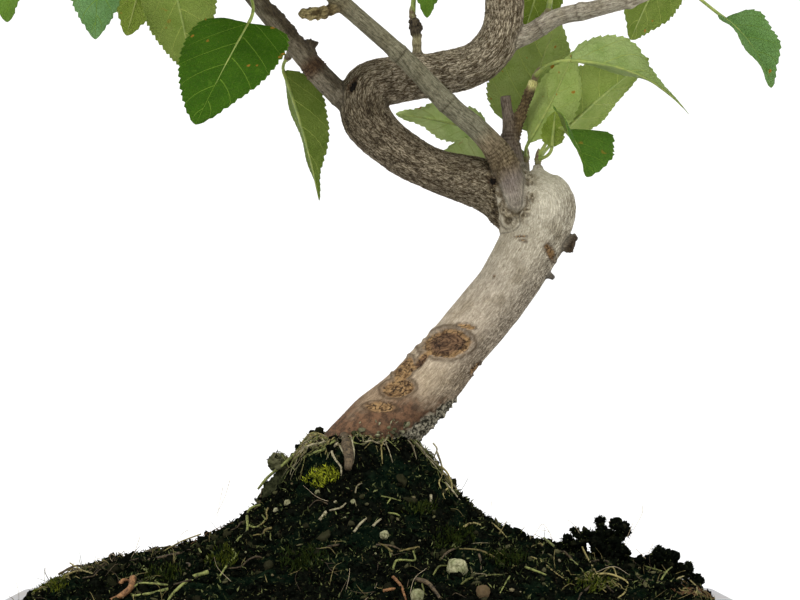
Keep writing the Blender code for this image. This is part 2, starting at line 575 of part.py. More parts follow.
class Leaf:
    """A blade with its petiole: base and tip of the midrib, width, upper face, fold, arch and skew."""

    def __init__(self, bud, base, tip, width, face, fold, arch, skew=0):
        self.bud = Vector(bud)
        self.base = Vector(base)
        self.chord = Vector(tip) - self.base
        self.length = self.chord.length
        self.axis = self.chord.normalized()
        face = Vector(face)
        self.face = (face - self.axis * face.dot(self.axis)).normalized()
        self.side = self.axis.cross(self.face)
        self.width = width
        self.fold = math.radians(fold)
        self.arch = arch
        self.skew = skew

    def half_width(self, s):
        shape = math.sin(math.pi * s ** OVATE) ** BLUNT if 0 < s < 1 else 0
        return max(self.width / 2 * shape, PETIOLE_WIDTH if s < 0.5 else 0)

    def midrib(self, s):
        return self.base + self.chord * s + self.face * (self.arch * self.length * 4 * s * (1 - s))

    def normal(self, s):
        slope = 4 * self.arch * (1 - 2 * s)
        return (self.face - self.axis * slope).normalized()

    def point(self, s, v, level):
        """Point at s along the midrib and v of the half width, level times half the thickness up."""
        out = v * self.half_width(s)
        normal = self.normal(s)
        lean = math.copysign(1, v) if v else 0
        place = self.midrib(s) + self.side * (out * math.cos(self.fold)) + self.axis * (out * self.skew)
        place += normal * (abs(out) * math.sin(self.fold) - CURL * out ** 2 / self.width)
        if lean:
            skin = normal * math.cos(self.fold) - self.side * (lean * math.sin(self.fold))
        else:
            skin = normal / math.cos(self.fold)
        return place + skin * level

    def edge(self, teeth):
        """(s, v) from base to tip: each tooth is a notch and a point that leans to the tip."""
        steps = []
        for k in range(teeth):
            for part, out in ((TOOTH_NOTCH, 1 - TOOTH_DEPTH), (TOOTH_POINT, 1)):
                steps.append((TOOTHLESS + (1 - 2 * TOOTHLESS) * (k + part) / teeth, out))
        return steps

    def solid(self, teeth, thickness, petiole_from=0.0):
        half = thickness / 2
        edge = self.edge(teeth)
        ribs = [(i + 1) / (teeth + 1) for i in range(teeth)]
        outline = [(0, -1)] + [(s, -v) for s, v in edge] + [(1, 0)]
        outline += [(s, v) for s, v in reversed(edge)] + [(0, 1)]
        layout = outline + [(s, 0) for s in ribs]
        count = len(layout)
        rim = len(outline)
        points = [self.point(s, v, half) for s, v in layout] + [self.point(s, v, -half) for s, v in layout]
        triangles = self.triangles(edge, ribs, rim)
        faces = [tuple(t) for t in triangles]
        faces += [tuple(i + count for i in reversed(t)) for t in triangles]
        for i in range(rim - 1):
            faces.append((i + 1, i, i + count))
            faces.append((i + 1, i + count, i + 1 + count))
        start = [points[0], points[rim - 1], points[rim - 1 + count], points[count]]
        ring_ids = [0, rim - 1, rim - 1 + count, count]
        self.add_petiole(points, faces, start, ring_ids, petiole_from)
        return points, faces

    def triangles(self, edge, ribs, rim):
        """Upper face, cut alike on both sides of the midrib."""
        steps = len(edge)
        tip = steps + 1
        left = list(range(0, tip + 1))
        right = [rim - 1 - i for i in range(0, tip + 1)]
        spread = [0] + [s for s, _ in edge] + [1]
        middle = [rim + i for i in range(len(ribs))]
        triangles = [(left[0], middle[0], right[0])]
        for side, flip in ((left, False), (right, True)):
            i = 0
            j = 0
            while i < tip - 1 or j < len(middle) - 1:
                next_edge = spread[i + 1] if i < tip - 1 else 2
                next_rib = ribs[j + 1] if j < len(middle) - 1 else 2
                if next_edge <= next_rib:
                    corner = (side[i], side[i + 1], middle[j])
                    i += 1
                else:
                    corner = (side[i], middle[j + 1], middle[j])
                    j += 1
                triangles.append(corner[::-1] if flip else corner)
            last = (side[tip - 1], side[tip], middle[-1])
            triangles.append(last[::-1] if flip else last)
        return triangles

    def add_petiole(self, points, faces, start, ring_ids, petiole_from):
        base = self.midrib(0)
        ahead = (self.midrib(0.02) - base).normalized()
        bend = base - ahead * (PETIOLE_BEND * (base - self.bud).length)
        steps = [t for t in (0.5, 0) if t > petiole_from] + [petiole_from]
        along = ahead
        side = (start[1] - start[0]).normalized()
        upper = ahead.cross(side)
        upper = -upper if upper.dot(start[0] - start[3]) < 0 else upper
        ring = ring_ids
        for t in sorted(set(steps), reverse=True):
            place = self.bud * (1 - t) ** 2 + bend * (2 * t * (1 - t)) + base * t ** 2
            way = ((bend - self.bud) * (1 - t) + (base - bend) * t).normalized()
            turn = along.rotation_difference(way)
            side = turn @ side
            upper = turn @ upper
            along = way
            first = len(points)
            for u, w in ((-1, 1), (1, 1), (1, -1), (-1, -1)):
                points.append(place + side * (u * PETIOLE_WIDTH) + upper * (w * 0.9 * PETIOLE_WIDTH))
            new = [first, first + 1, first + 2, first + 3]
            for i in range(4):
                j = (i + 1) % 4
                faces.append((ring[i], ring[j], new[j], new[i]))
            ring = new
        faces.append(tuple(ring))


def tree_of(points, faces):
    return BVHTree.FromPolygons([Vector(p) for p in points], [tuple(f) for f in faces])


def out_of_crown(points):
    for x, y, z in points:
        if BARE_LEFT < x < BARE_RIGHT and z < BARE_TOP + BARE_SLOPE * y:
            return True
        if abs(x) > CROWN_REACH[0] or abs(y) > CROWN_REACH[1]:
            return True
    return False


def grow_leaf(draw, stem, order, count, taken):
    """Tries places round a stem until the blade has room; gives None if it finds none."""
    first = Vector(stem[0][:3])
    last = Vector(stem[-1][:3])
    ahead = (last - first).normalized()
    share = BUD_PLACES[0] + (BUD_PLACES[1] - BUD_PLACES[0]) * order / max(count - 1, 1)
    bud = first.lerp(last, share)
    length = draw.uniform(*BLADE_LENGTH)
    shape = draw.uniform(*BLADE_SHAPE)
    for attempt in range(TRIES):
        turn = SPIRAL * (order + TRY_TURN * attempt) + draw.uniform(-20, 20)
        spread = draw.uniform(*LEAF_SPREAD)
        out = (ahead + spread * around(ahead, turn)).normalized()
        base = bud + out * draw.uniform(*PETIOLE_LENGTH)
        way = Vector((out.x, out.y, LEAF_FLATNESS * out.z - draw.uniform(*LEAF_DROOP))).normalized()
        size = length * (1 - TRY_SHRINK * attempt)
        tilt = Vector((draw.uniform(-LEAF_TILT, LEAF_TILT), draw.uniform(-LEAF_TILT, LEAF_TILT), 1))
        face = tilt + LEAF_FACING * out
        fold = draw.uniform(*LEAF_FOLD)
        leaf = Leaf(bud, base, base + way * size, size * shape, face, fold, draw.uniform(*LEAF_ARCH))
        points, faces = leaf.solid(2, CLEARANCE_THICKNESS, 0.3)
        if out_of_crown(points):
            continue
        room = tree_of(points, faces)
        if not any(room.overlap(other) for other in taken):
            taken.append(room)
            return leaf
    return None


def plan_leaves(woods):
    """All leafy stems with their leaves: the low sprays as given, the crown's where there is room."""
    sprays = []
    taken = [tree_of(*solid) for solid in woods]
    for name, (wood, length, leaves) in LOW_SPRAYS.items():
        stem = stem_run(wood, length)
        bud = Vector(stem[0][:3]).lerp(Vector(stem[1][:3]), 0.6)
        grown = [Leaf(bud, *leaf) for leaf in leaves]
        sprays.append((name, stem, grown))
        taken += [tree_of(*leaf.solid(2, CLEARANCE_THICKNESS, 0.2)) for leaf in grown]
        taken.append(tree_of(*tube(stem, SPUR_SIDES, 1, GAP)))
    draw = random.Random(SEED + 1)
    crown = []
    for name, wood, count in crown_spurs():
        stem = stem_run(wood, draw.uniform(*STEM_LENGTH))
        crown.append((name, stem, count))
        taken.append(tree_of(*tube(stem, SPUR_SIDES, 1, GAP)))
    for name, stem, count in crown:
        grown = [grow_leaf(draw, stem, order, count, taken) for order in range(count)]
        grown = [leaf for leaf in grown if leaf]
        if grown:
            sprays.append((name, stem, grown))
    return sprays


def wood_runs():
    """Every run of wood with its number of sides and whether its end is round."""
    runs = [(FOOT_RUN, TRUNK_SIDES, True), (LEADER_RUN, LEADER_SIDES, False)]
    runs += [(points, BRANCH_SIDES, False) for points in BRANCHES.values()]
    runs += [(points, BRANCH_SIDES, False) for points in STUBS]
    runs += [(wood, SPUR_SIDES + 1, False) for wood, _, _ in LOW_SPRAYS.values()]
    runs += [(wood, SPUR_SIDES, False) for name, wood, _ in crown_spurs() if not name.endswith("_end")]
    return runs


def run_steps(points):
    return 2 if points in (FOOT_RUN, LEADER_RUN) else 1


def build_tree(material):
    pieces = []
    for number, (points, sides, round_end) in enumerate(wood_runs()):
        solid = tube(points, sides, run_steps(points), 0, round_end)
        pieces.append(mesh_object(f"wood_{number}", *solid))
    tree = pieces[0]
    tree.name = "tree"
    tree.data.materials.append(material)
    boolean(tree, pieces[1:], "UNION")
    return tree


def foot_cutter():
    """The trunk's foot, a gap wider and deeper: the plain hole that it stands in."""
    below = (FOOT_RUN[0][0], FOOT_RUN[0][1], FOOT_RUN[0][2] - GAP, FOOT_RUN[0][3])
    points, faces = tube([below] + FOOT_RUN[1:6], TRUNK_SIDES, 2, GAP)
    return mesh_object("foot_cutter", points, faces)


def build_spray(name, stem, leaves, material):
    base = mesh_object(f"leaves_{name}", *tube(stem, SPUR_SIDES, 1))
    base.data.materials.append(material)
    teeth = TEETH if name in LOW_SPRAYS else CROWN_TEETH
    others = []
    for leaf in leaves:
        others.append(mesh_object("leaf", *leaf.solid(teeth, BLADE_THICKNESS)))
    return boolean(base, others, "UNION")


def main():
    clear_scene()
    glaze = principled("grey_blue_glaze", (0.42, 0.45, 0.52), 0.25)
    plastic = principled("black_plastic", (0.02, 0.02, 0.02), 0.5)
    earth = principled("dark_soil", (0.02, 0.022, 0.015), 0.95)
    bark = principled("grey_brown_bark", (0.33, 0.27, 0.21), 0.8)
    green = principled("leaf_green", (0.1, 0.26, 0.04), 0.5)
    build_pot(glaze)
    build_screen("drain_screen_left", -DRAIN_SPACING / 2, plastic)
    build_screen("drain_screen_right", DRAIN_SPACING / 2, plastic)
    build_soil(earth, foot_cutter())
    build_tree(bark)
    woods = [tube(points, sides, run_steps(points), GAP, end) for points, sides, end in wood_runs()]
    for name, stem, leaves in plan_leaves(woods):
        build_spray(name, stem, leaves, green)


main()
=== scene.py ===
"""Looks of the crabapple bonsai: bark, leaves, soil, moss and glazed pot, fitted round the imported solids.

The runs of wood and the rule that places the leaves are the same as in the part's own source, in
millimetres, and meshes are written in metres. +Z is up, the front faces -Y, and the origin is on the
ground under the middle of the pot.
"""

import math
import random

import bmesh
import bpy
import numpy as np
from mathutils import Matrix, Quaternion, Vector, noise
from mathutils.bvhtree import BVHTree


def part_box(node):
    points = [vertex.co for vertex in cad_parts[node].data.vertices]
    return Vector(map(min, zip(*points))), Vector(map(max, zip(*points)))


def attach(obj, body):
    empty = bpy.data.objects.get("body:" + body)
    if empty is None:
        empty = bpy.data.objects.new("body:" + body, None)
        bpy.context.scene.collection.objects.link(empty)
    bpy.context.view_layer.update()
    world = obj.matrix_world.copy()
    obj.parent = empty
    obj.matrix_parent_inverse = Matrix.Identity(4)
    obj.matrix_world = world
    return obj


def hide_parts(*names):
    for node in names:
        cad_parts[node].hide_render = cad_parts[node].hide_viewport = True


MM = 0.001
GAP = 0.3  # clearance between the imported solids

# Camera: the photograph's, 750 mm in front of the pot's middle
CAMERA_PLACE = (0, -750, 144)
CAMERA_YAW = 0.77
CAMERA_PITCH = 2.76
CAMERA_LENS = 103.5
PHOTO_CENTRE = (400, 300)  # pixels of the 800 x 600 photograph
SENSOR_WIDTH = 36
PHOTO_WIDTH = 800

# Studio: a white wall all round, a dimmer ceiling, two soft lamps and a pale floor
WALL_LIGHT = 1.15
CEILING_LIGHT = 0.66
WALL_TOP = (0.16, 0.4)  # sine of the angle above the horizon where the wall's light starts and ends to dim
SUNS = [("key", (38, 0, -32), 2.1, 22), ("fill", (64, 0, 62), 1.0, 45)]  # name, turn, strength and spread
FLOOR_RADIUS = 9000
FLOOR_SIDES = 96

# Pot
POT_LENGTH = 250
POT_DEPTH = 190
POT_HEIGHT = 80
POT_CORNER = 14
FOOT_HEIGHT = 9
LIP_HEIGHT = 8
LIP_OVERHANG = 4
WALL = 6
WALL_LEAN = 9
BOTTOM_EDGE = 2
FLOOR = 7
FOOT_SIZE = (38, 30)
FOOT_LEAN = 2.5
DRAIN_DIAMETER = 14
DRAIN_SPACING = 110

# Soil
SOIL_BELOW_RIM = 2
DOME_HEIGHT = 21.5
DOME_FLATNESS = 5
OUTLINE_SQUARENESS = 4
NECK_STEEPNESS = 4
NECK_HEIGHT = 34.5
NECK_RADIUS = 31.5
NECK_CENTRE = (-2, 0)
CLUMPS = [(74, -4, 12, 11), (98, -2, 6, 10)]
LUMP_HEIGHT = 2.4
LUMP_SIZE = 13
SOIL_SIDES = 440
SOIL_RINGS = 120

# Wood: each run is a list of (x, y, z, radius) along its centre
FOOT_RUN = [
    (-13, 0, 98, 13.2), (-8, 0, 122, 12.8), (1.2, 0, 136, 12), (16.8, 0.5, 151, 10.7), (29, 1, 165.5, 10),
    (43.8, 1.5, 183.5, 9.8), (53, 1, 199, 10.4), (56, 0, 210, 11.8), (53, 0, 214.5, 10.2),
]
LEADER_RUN = [
    (52, 0, 206, 9.4), (44.5, 1, 214.5, 9.2), (35, 2, 219, 8.3), (22.8, 3, 222.5, 7.3), (10, 4, 229.5, 7.4),
    (-0.6, 5, 240, 8.2), (-0.6, 6, 250.4, 8), (9.5, 7, 253.6, 7.7), (23, 7, 255.5, 7.5), (35.5, 6, 259, 7),
    (42.8, 4, 267, 6.7), (44.5, 3, 278, 6.3), (43, 0, 292, 5.9), (35.5, -4, 305, 5.4), (26, -7, 317, 4.9),
    (21, -8, 332, 4.3), (25, -5, 348, 3.6), (28, -2, 364, 2.9), (25.5, 1, 379, 2.2), (22, 2, 391, 1.5),
]
BRANCHES = {
    "front_branch": [
        (48.5, -5, 212, 5), (43.5, -7, 225, 4.5), (36.3, -8, 234, 3.8), (25, -8, 244, 3.4),
        (9.6, -8, 260, 3), (-9, -11, 276, 2.8), (-22, -16, 288, 2.5), (-34, -20, 303, 2.1),
        (-43, -20, 321, 1.6), (-48, -17, 338, 1.2),
    ],
    "left_branch": [
        (0, 5, 243, 4.4), (-6, 5, 245, 4), (-14.3, 4, 252.5, 3.9), (-21.2, 3, 260.5, 3.6),
        (-28.4, 3, 269, 3.4), (-36.5, 4, 278.5, 3.1), (-47.5, 7, 292, 2.7), (-62, 9, 302, 2.2),
        (-78, 10, 308, 1.8), (-93, 9, 315, 1.2),
    ],
    "right_branch": [
        (45, 4, 265.5, 3.6), (53, 3, 268.5, 3.2), (62, 1, 273.5, 2.9), (72.5, -1, 275.5, 2.8),
        (88, -4, 279.5, 2.5), (104, -6, 286.5, 2.1), (118, -6, 297, 1.7), (127, -4, 309, 1.2),
    ],
    "back_branch": [
        (36, -2, 303, 2.9), (39, 16, 311, 2.6), (45, 40, 317, 2.1), (49, 62, 324, 1.6), (47, 80, 334, 1.2),
    ],
    "back_left_branch": [
        (26, -5, 316, 2.8), (10, 12, 325, 2.5), (-9, 33, 331, 2.1), (-24, 54, 337, 1.6),
        (-32, 70, 346, 1.2),
    ],
    "front_right_branch": [
        (22, -8, 331, 2.6), (30, -25, 337, 2.3), (42, -43, 341, 1.9), (53, -58, 348, 1.5),
        (58, -70, 357, 1.2),
    ],
    "front_left_branch": [
        (34, -5, 307, 2.7), (17, -24, 314, 2.3), (1, -43, 318, 1.9), (-10, -60, 326, 1.5),
        (-14, -73, 336, 1.2),
    ],
    "upper_right_branch": [(25, -5, 347, 2.4), (43, 0, 354, 2.1), (63, 6, 358, 1.7), (80, 8, 366, 1.2)],
    "upper_left_branch": [(28, -3, 361, 2.1), (9, 3, 368, 1.8), (-11, 8, 373, 1.5), (-28, 10, 382, 1.2)],
    "left_front_twig": [(-47, 7, 292, 2), (-52, -10, 300, 1.8), (-61, -30, 307, 1.5), (-68, -48, 317, 1.2)],
    "left_back_twig": [(-61, 9, 302, 1.8), (-66, 28, 309, 1.6), (-74, 48, 316, 1.4), (-78, 64, 326, 1.2)],
    "right_front_twig": [
        (87, -4, 279.5, 1.9), (93, -22, 288, 1.7), (101, -40, 295, 1.4), (105, -55, 305, 1.2),
    ],
    "right_back_twig": [
        (104, -6, 286.5, 1.8), (109, 12, 295, 1.6), (116, 31, 302, 1.4), (118, 47, 312, 1.2),
    ],
}
STUBS = [
    [(50, 2, 214, 3.7), (46.8, 1.5, 229, 3.3), (45.7, 1.5, 239, 2), (44.7, 1.5, 247.5, 1.8)],
    [(-19.5, 3, 259, 2.6), (-18.8, 2.6, 266, 1.9)],
    [(56, 0, 200, 3.6), (67, -2, 198.3, 3)],
    [(-9, -11, 275, 2.2), (-15, -13, 272.5, 1.9), (-21.5, -15, 271.5, 1.6)],
]
TRUNK_SIDES = 14
LEADER_SIDES = 12
BRANCH_SIDES = 6
SPUR_SIDES = 5
SPUR_RADIUS = 1.3
SPUR_LENGTH = (6, 10)
SPRAY_SPACING = 28
SPRAY_START = 0.45
TIP_CLEARANCE = 0.6
APEX_POINT = 12
SPUR_AHEAD = 0.5
SPUR_RISE = 0.35
SPUR_LEAVES = (1, 2, 2)
END_LEAVES = 4
FULL_ENDS = {"left_branch"}
SPIRAL = 137.5
STEM_RADIUS = 1.1

# Leaves
BLADE_THICKNESS = 0.7
TEETH = 4
CROWN_TEETH = 3
TOOTH_DEPTH = 0.1
TOOTH_NOTCH = 0.12
TOOTH_POINT = 0.72
TOOTHLESS = 0.02
OVATE = 0.66
BLUNT = 0.68
CURL = 0.175
PETIOLE_WIDTH = 0.65
PETIOLE_BEND = 0.45
BLADE_LENGTH = (27, 37)
BLADE_SHAPE = (0.68, 0.8)
PETIOLE_LENGTH = (9, 16)
STEM_LENGTH = (4, 8)
BUD_PLACES = (0.45, 0.95)
LEAF_SPREAD = (0.5, 1.3)
LEAF_DROOP = (0.05, 0.75)
LEAF_FLATNESS = 0.35
LEAF_TILT = 0.35
LEAF_FACING = 0.4
LEAF_FOLD = (4, 22)
LEAF_ARCH = (0.02, 0.1)
TRY_TURN = 0.37
TRY_SHRINK = 0.035
CLEARANCE_THICKNESS = 1.7
TRIES = 14
CROWN_REACH = (152, 112)
SEED = 11
BARE_TOP = 282
BARE_SLOPE = 0.18
BARE_LEFT = -126
BARE_RIGHT = 146
FIT = 0.6  # most that a spray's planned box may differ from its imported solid's

# Leafy spurs round the trunk: run of wood to the seat, leafy stem's length, then each leaf's
# base, tip, width, way its upper face looks, fold, arch and, where it is lopsided, skew
LOW_SPRAYS = {
    "knuckle_right": (
        [(54.5, 0, 213, 2), (55.2, -0.5, 224.6, 1.5)], 2.5,
        [((64.6, 4, 236.6), (93.2, 10, 261.3), 28, (-0.45, 0.9, 0.4), 36, 0.03),
         ((59.4, -6, 229.8), (60.3, -9, 241), 8.5, (0, 1, 0), 12, 0.04),
         ((63.5, -9, 235), (69.3, -21, 218.4), 28, (0.57, -0.6, 0.55), 38, 0.08, -0.2)],
    ),
    "knuckle_left": (
        [(51, 4, 213, 1.9), (51.7, 5, 226, 1.3)], 2.5,
        [((49.3, 13, 238.4), (63.8, 20, 276.7), 30, (0, 1, 0.1), 8, 0.03),
         ((52.2, 1, 231.7), (67, -4, 261.5), 20, (0.45, 0.9, -0.1), 24, 0.05)],
    ),
    "knuckle_back": (
        [(47, 5, 213, 2.2), (45, 16, 221, 1.4)], 2.5,
        [((43, 20, 224.5), (24.5, 30, 231.5), 21, (-0.1, 0.8, 0.6), 8, 0.05),
         ((40, 24, 238), (9, 33, 245.5), 17, (0, 0.75, 0.6), 12, 0.04),
         ((46.5, 21, 229.5), (35.5, 44, 240.5), 15, (0, -0.1, 1), 8, 0.04)],
    ),
    "scarred_spur": (
        [(47.3, 1.5, 231, 2.4), (49, 1.5, 239, 2.2), (51, 1.5, 244.5, 2), (54.2, 1, 252.5, 2.3)], 2,
        [((65, -13, 257), (102, -21, 238.5), 22, (0.4, 1, 0.92), 50, 0.2)],
    ),
    "leader_twig": (
        [(15.5, 6, 256, 2.2), (15.8, 5.5, 267, 1.7), (14.6, 5, 273, 1.6)], 2,
        [((17.5, 4, 297), (19, 2, 273.3), 17, (0.2, -0.9, 0.3), 12, 0.08)],
    ),
    "left_low": (
        [(-24.5, 3, 264, 2), (-26.5, 8.5, 262, 1.4)], 2.5,
        [((-28.5, 11.5, 257), (-16.5, 9, 213.5), 22, (0.7, 0.72, 0.1), 42, 0.03)],
    ),
    "left_middle": (
        [(-40, 5, 283, 2), (-44, -3, 284, 1.4)], 3,
        [((-38.5, -20, 267.7), (-54.8, -27, 234.2), 31.5, (0.05, -1, 0.28), 7, 0.05, 0.28),
         ((-66, -6, 291), (-57, -14, 252.5), 27, (0.25, 1, 0.25), 9, 0.05)],
    ),
    "left_outer": (
        [(-80, 10, 309, 1.8), (-84, 1, 309.5, 1.4)], 3,
        [((-85, -13, 297), (-87.5, -19, 262.5), 24, (-0.2, -1, 0.35), 9, 0.06),
         ((-72, -2, 298), (-80, 4, 267.5), 20, (0.15, 1, 0.2), 9, 0.05)],
    ),
    "left_tip": (
        [(-90, 9.2, 313.6, 1.1), (-98, 8.5, 317.5, 1.1)], 4,
        [((-113, 4, 301), (-118.5, -1, 271), 22, (-0.5, -0.8, 0.35), 10, 0.06),
         ((-115, 13, 324), (-151.5, 20, 329), 24, (-0.2, 0.1, 1), 10, 0.06)],
    ),
    "right_fork": (
        [(55, 2.5, 269.5, 1.9), (59, 10, 276, 1.4)], 2.5,
        [((62, 27, 299), (53, 27, 273), 22, (-0.2, 1, 0.3), 10, 0.06)],
    ),
    "right_middle": (
        [(99, -5.5, 284, 1.8), (98, 2.5, 291, 1.4)], 2.5,
        [((103, 13, 298), (87, 9, 267.3), 26, (-0.3, 0.95, 0.35), 10, 0.06)],
    ),
    "right_outer": (
        [(102, -6, 285.5, 1.8), (103, -11, 281.5, 1.3)], 2.5,
        [((115.5, -9, 271.5), (129, -18, 247.5), 22, (0.6, -0.95, 0.36), 34, 0.1)],
    ),
    "right_tip": (
        [(117, -6, 296, 1.6), (123, 0, 298, 1.3)], 3,
        [((131, 7, 306), (151.5, 17, 287), 21, (0.5, 0.1, 0.9), 10, 0.06)],
    ),
    "front_tip": (
        [(53, -58, 348, 1.5), (50, -66, 349, 1.3)], 3,
        [((44, -78, 356), (38, -111.5, 351), 24, (0, -0.2, 1), 10, 0.06)],
    ),
    "back_tip": (
        [(48.5, 66, 326, 1.5), (54, 74, 329, 1.3)], 3,
        [((60, 83, 337), (58, 111.5, 325), 22, (0.1, 0.2, 1), 10, 0.06)],
    ),
}

# How each leaf of a low spray differs from the rest: lightness, yellowness (blueness where less than 0),
# length of its narrow tail and breadth near its base (near its tip where less than 0)
# The lightness is partly the leaf's own tone and partly painted light, raised where a leaf lies in shade
LOW_TONES_AND_LIGHT = {
    "knuckle_right": [(0.33, 0.6, 0.2, -0.6), (0.2, 0.9, 0, 0), (0.15, 0, 0, 0.7)],
    "knuckle_left": [(0.48, 0.45, 0.1, 0.2), (0.66, 0.5, 0.2, -1.6)],
    # Painted light: lightness 1 stands in for light coming through these leaves
    "knuckle_back": [(1, 0, 0.1, 0), (1, 0, 0.3, 0), (0.1, 0.1, 0.1, 0.5)],
    "scarred_spur": [(0.4, -0.3, 0.85, 0.2)],
    "leader_twig": [(0.3, 0.2, 0.3, 0)],
    "left_low": [(0.05, 0.2, 0.5, 0)],
    "left_middle": [(0, 0, 0, 1), (0.2, 0.5, 0, 0.5)],
    "left_outer": [(0.4, -0.9, 0.1, 0.4), (0.2, 0.9, 0, 0)],
    "right_fork": [(0, 0.5, 0, 0)],
    "right_middle": [(0.1, 0.4, 0.1, 0.3)],
    "right_outer": [(0.45, -0.6, 0.1, 0.4)],
}


class Shader:
    """One material's nodes, each added by a short call that gives its output."""

    def __init__(self, name, roughness, specular=0.35):
        self.material = bpy.data.materials.new(name)
        self.material.use_nodes = True
        self.tree = self.material.node_tree
        self.surface = self.tree.nodes["Principled BSDF"]
        self.set(roughness, "Roughness")
        self.surface.inputs["Specular IOR Level"].default_value = specular

    def set(self, value, socket):
        self.feed(self.surface.inputs[socket], value)

    def feed(self, socket, value):
        if isinstance(value, bpy.types.NodeSocket):
            self.tree.links.new(value, socket)
        elif isinstance(value, tuple) and len(value) == 3 and socket.type == "RGBA":
            socket.default_value = (*value, 1)
        else:
            socket.default_value = value

    def add(self, kind, inputs, output=0, **settings):
        node = self.tree.nodes.new("ShaderNode" + kind)
        for key, value in settings.items():
            setattr(node, key, value)
        for key, value in inputs.items():
            self.feed(node.inputs[key], value)
        return node.outputs[output]

    def attribute(self, name, output="Vector"):
        return self.add("Attribute", {}, output, attribute_name=name)

    def mask(self, name):
        return self.attribute(name, "Fac")

    def object_place(self):
        """The surface's place in millimetres."""
        place = self.add("TexCoord", {}, "Object")
        return self.scaled(place, (1 / MM, 1 / MM, 1 / MM))

    def scaled(self, vector, scale):
        return self.add("VectorMath", {0: vector, 1: scale}, operation="MULTIPLY")

    def noise(self, vector, scale, detail=3.0, roughness=0.55, distortion=0.0):
        inputs = {"Vector": vector, "Scale": scale, "Detail": detail, "Roughness": roughness}
        return self.add("TexNoise", {**inputs, "Distortion": distortion})

    def cells(self, vector, scale):
        """Distance to the nearest edge between cells."""
        inputs = {"Vector": vector, "Scale": scale}
        return self.add("TexVoronoi", inputs, "Distance", feature="DISTANCE_TO_EDGE")

    def math(self, operation, a, b=0.0):
        return self.add("Math", {0: a, 1: b}, operation=operation)

    def times(self, a, b):
        return self.math("MULTIPLY", a, b)

    def plus(self, a, b):
        return self.math("ADD", a, b)

    def lines(self, vector, width):
        """Thin winding lines, where a noise crosses its middle value."""
        away = self.math("ABSOLUTE", self.math("SUBTRACT", self.noise(vector, 1.0, 2.0), 0.5))
        return self.between(away, width, 0.2 * width)

    def between(self, value, low, high):
        """A smooth step from 0 at low to 1 at high, whichever of the two is the larger."""
        inputs = {"Value": value, "From Min": low, "From Max": high}
        return self.add("MapRange", inputs, interpolation_type="SMOOTHSTEP")

    def mix(self, share, first, second):
        return self.add("Mix", {0: share, 6: first, 7: second}, 2, data_type="RGBA")

    def multiply(self, share, first, second):
        return self.add("Mix", {0: share, 6: first, 7: second}, 2, data_type="RGBA", blend_type="MULTIPLY")

    def part(self, vector, axis):
        return self.add("SeparateXYZ", {0: vector}, axis)

    def bump(self, height, distance, strength=1.0):
        normal = self.add("Bump", {"Height": height, "Distance": distance * MM, "Strength": strength})
        self.set(normal, "Normal")


class Shape:
    """Points in millimetres and faces gathered for one piece, with a value of each kind at each point."""

    def __init__(self, *kinds):
        self.points = []
        self.faces = []
        self.slots = []
        self.count = 0
        self.values = {kind: [] for kind in kinds}

    def add(self, points, faces, slot=0, **values):
        points = np.asarray(points, float).reshape(-1, 3)
        self.points.append(points)
        self.faces += [tuple(i + self.count for i in face) for face in faces]
        self.slots += [slot] * len(faces)
        self.count += len(points)
        for kind, kept in self.values.items():
            kept.append(np.broadcast_to(np.asarray(values[kind], float), (len(points), 3)))

    def piece(self, name, materials, slot=None, smooth=True):
        item = mesh_piece(name, np.concatenate(self.points), self.faces, materials, slot, smooth)
        item.data.polygons.foreach_set("material_index", self.slots)
        for kind, kept in self.values.items():
            give(item.data, kind, np.concatenate(kept))
        return item


def mesh_piece(name, points, faces, materials, slot=None, smooth=True):
    mesh = bpy.data.meshes.new(name)
    mesh.from_pydata((np.asarray(points, float) * MM).tolist(), [], faces)
    if smooth:
        mesh.shade_smooth()
    for material in materials:
        mesh.materials.append(material)
    item = bpy.data.objects.new(name, mesh)
    bpy.context.scene.collection.objects.link(item)
    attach(item, "root")
    return item


def give(mesh, kind, values):
    """Writes an attribute at the mesh's points: a number or a vector for each."""
    values = np.asarray(values, np.float32)
    plain = values.ndim == 1
    attribute = mesh.attributes.new(kind, "FLOAT" if plain else "FLOAT_VECTOR", "POINT")
    attribute.data.foreach_set("value" if plain else "vector", values.ravel())


def smooth_step(value, low, high):
    t = np.clip((np.asarray(value, float) - low) / (high - low), 0, 1)
    return t * t * (3 - 2 * t)


def waves(places, size, octaves=1):
    """Noise from about -1 to 1 at each place. size is one length, or one for each axis."""
    scaled = (np.asarray(places, float) / np.asarray(size, float)).tolist()
    return np.array([noise.fractal(place, 1.0, 2.0, octaves) for place in scaled])


def rounded_rectangle(half_x, half_y, radius, z, steps=5):
    points = []
    for corner in range(4):
        sign_x = (1, -1, -1, 1)[corner]
        sign_y = (1, 1, -1, -1)[corner]
        for step in range(steps):
            angle = math.radians(90 * (corner + step / (steps - 1)))
            x = sign_x * (half_x - radius) + radius * math.cos(angle)
            y = sign_y * (half_y - radius) + radius * math.sin(angle)
            points.append((x, y, z))
    return points


def lofted(rings):
    """Closed solid through rings of equally many points, with both end rings filled."""
    count = len(rings[0])
    points = [point for ring in rings for point in ring]
    faces = [tuple(reversed(range(count)))]
    for row in range(len(rings) - 1):
        for i in range(count):
            j = (i + 1) % count
            low = row * count
            faces.append((low + i, low + j, low + count + j, low + count + i))
    last = (len(rings) - 1) * count
    faces.append(tuple(range(last, last + count)))
    return points, faces


def ring_of(centre, along, side, radius, sides):
    across = along.cross(side)
    centre = Vector(centre)
    points = []
    for i in range(sides):
        angle = 2 * math.pi * i / sides
        points.append(centre + radius * (math.cos(angle) * side + math.sin(angle) * across))
    return points


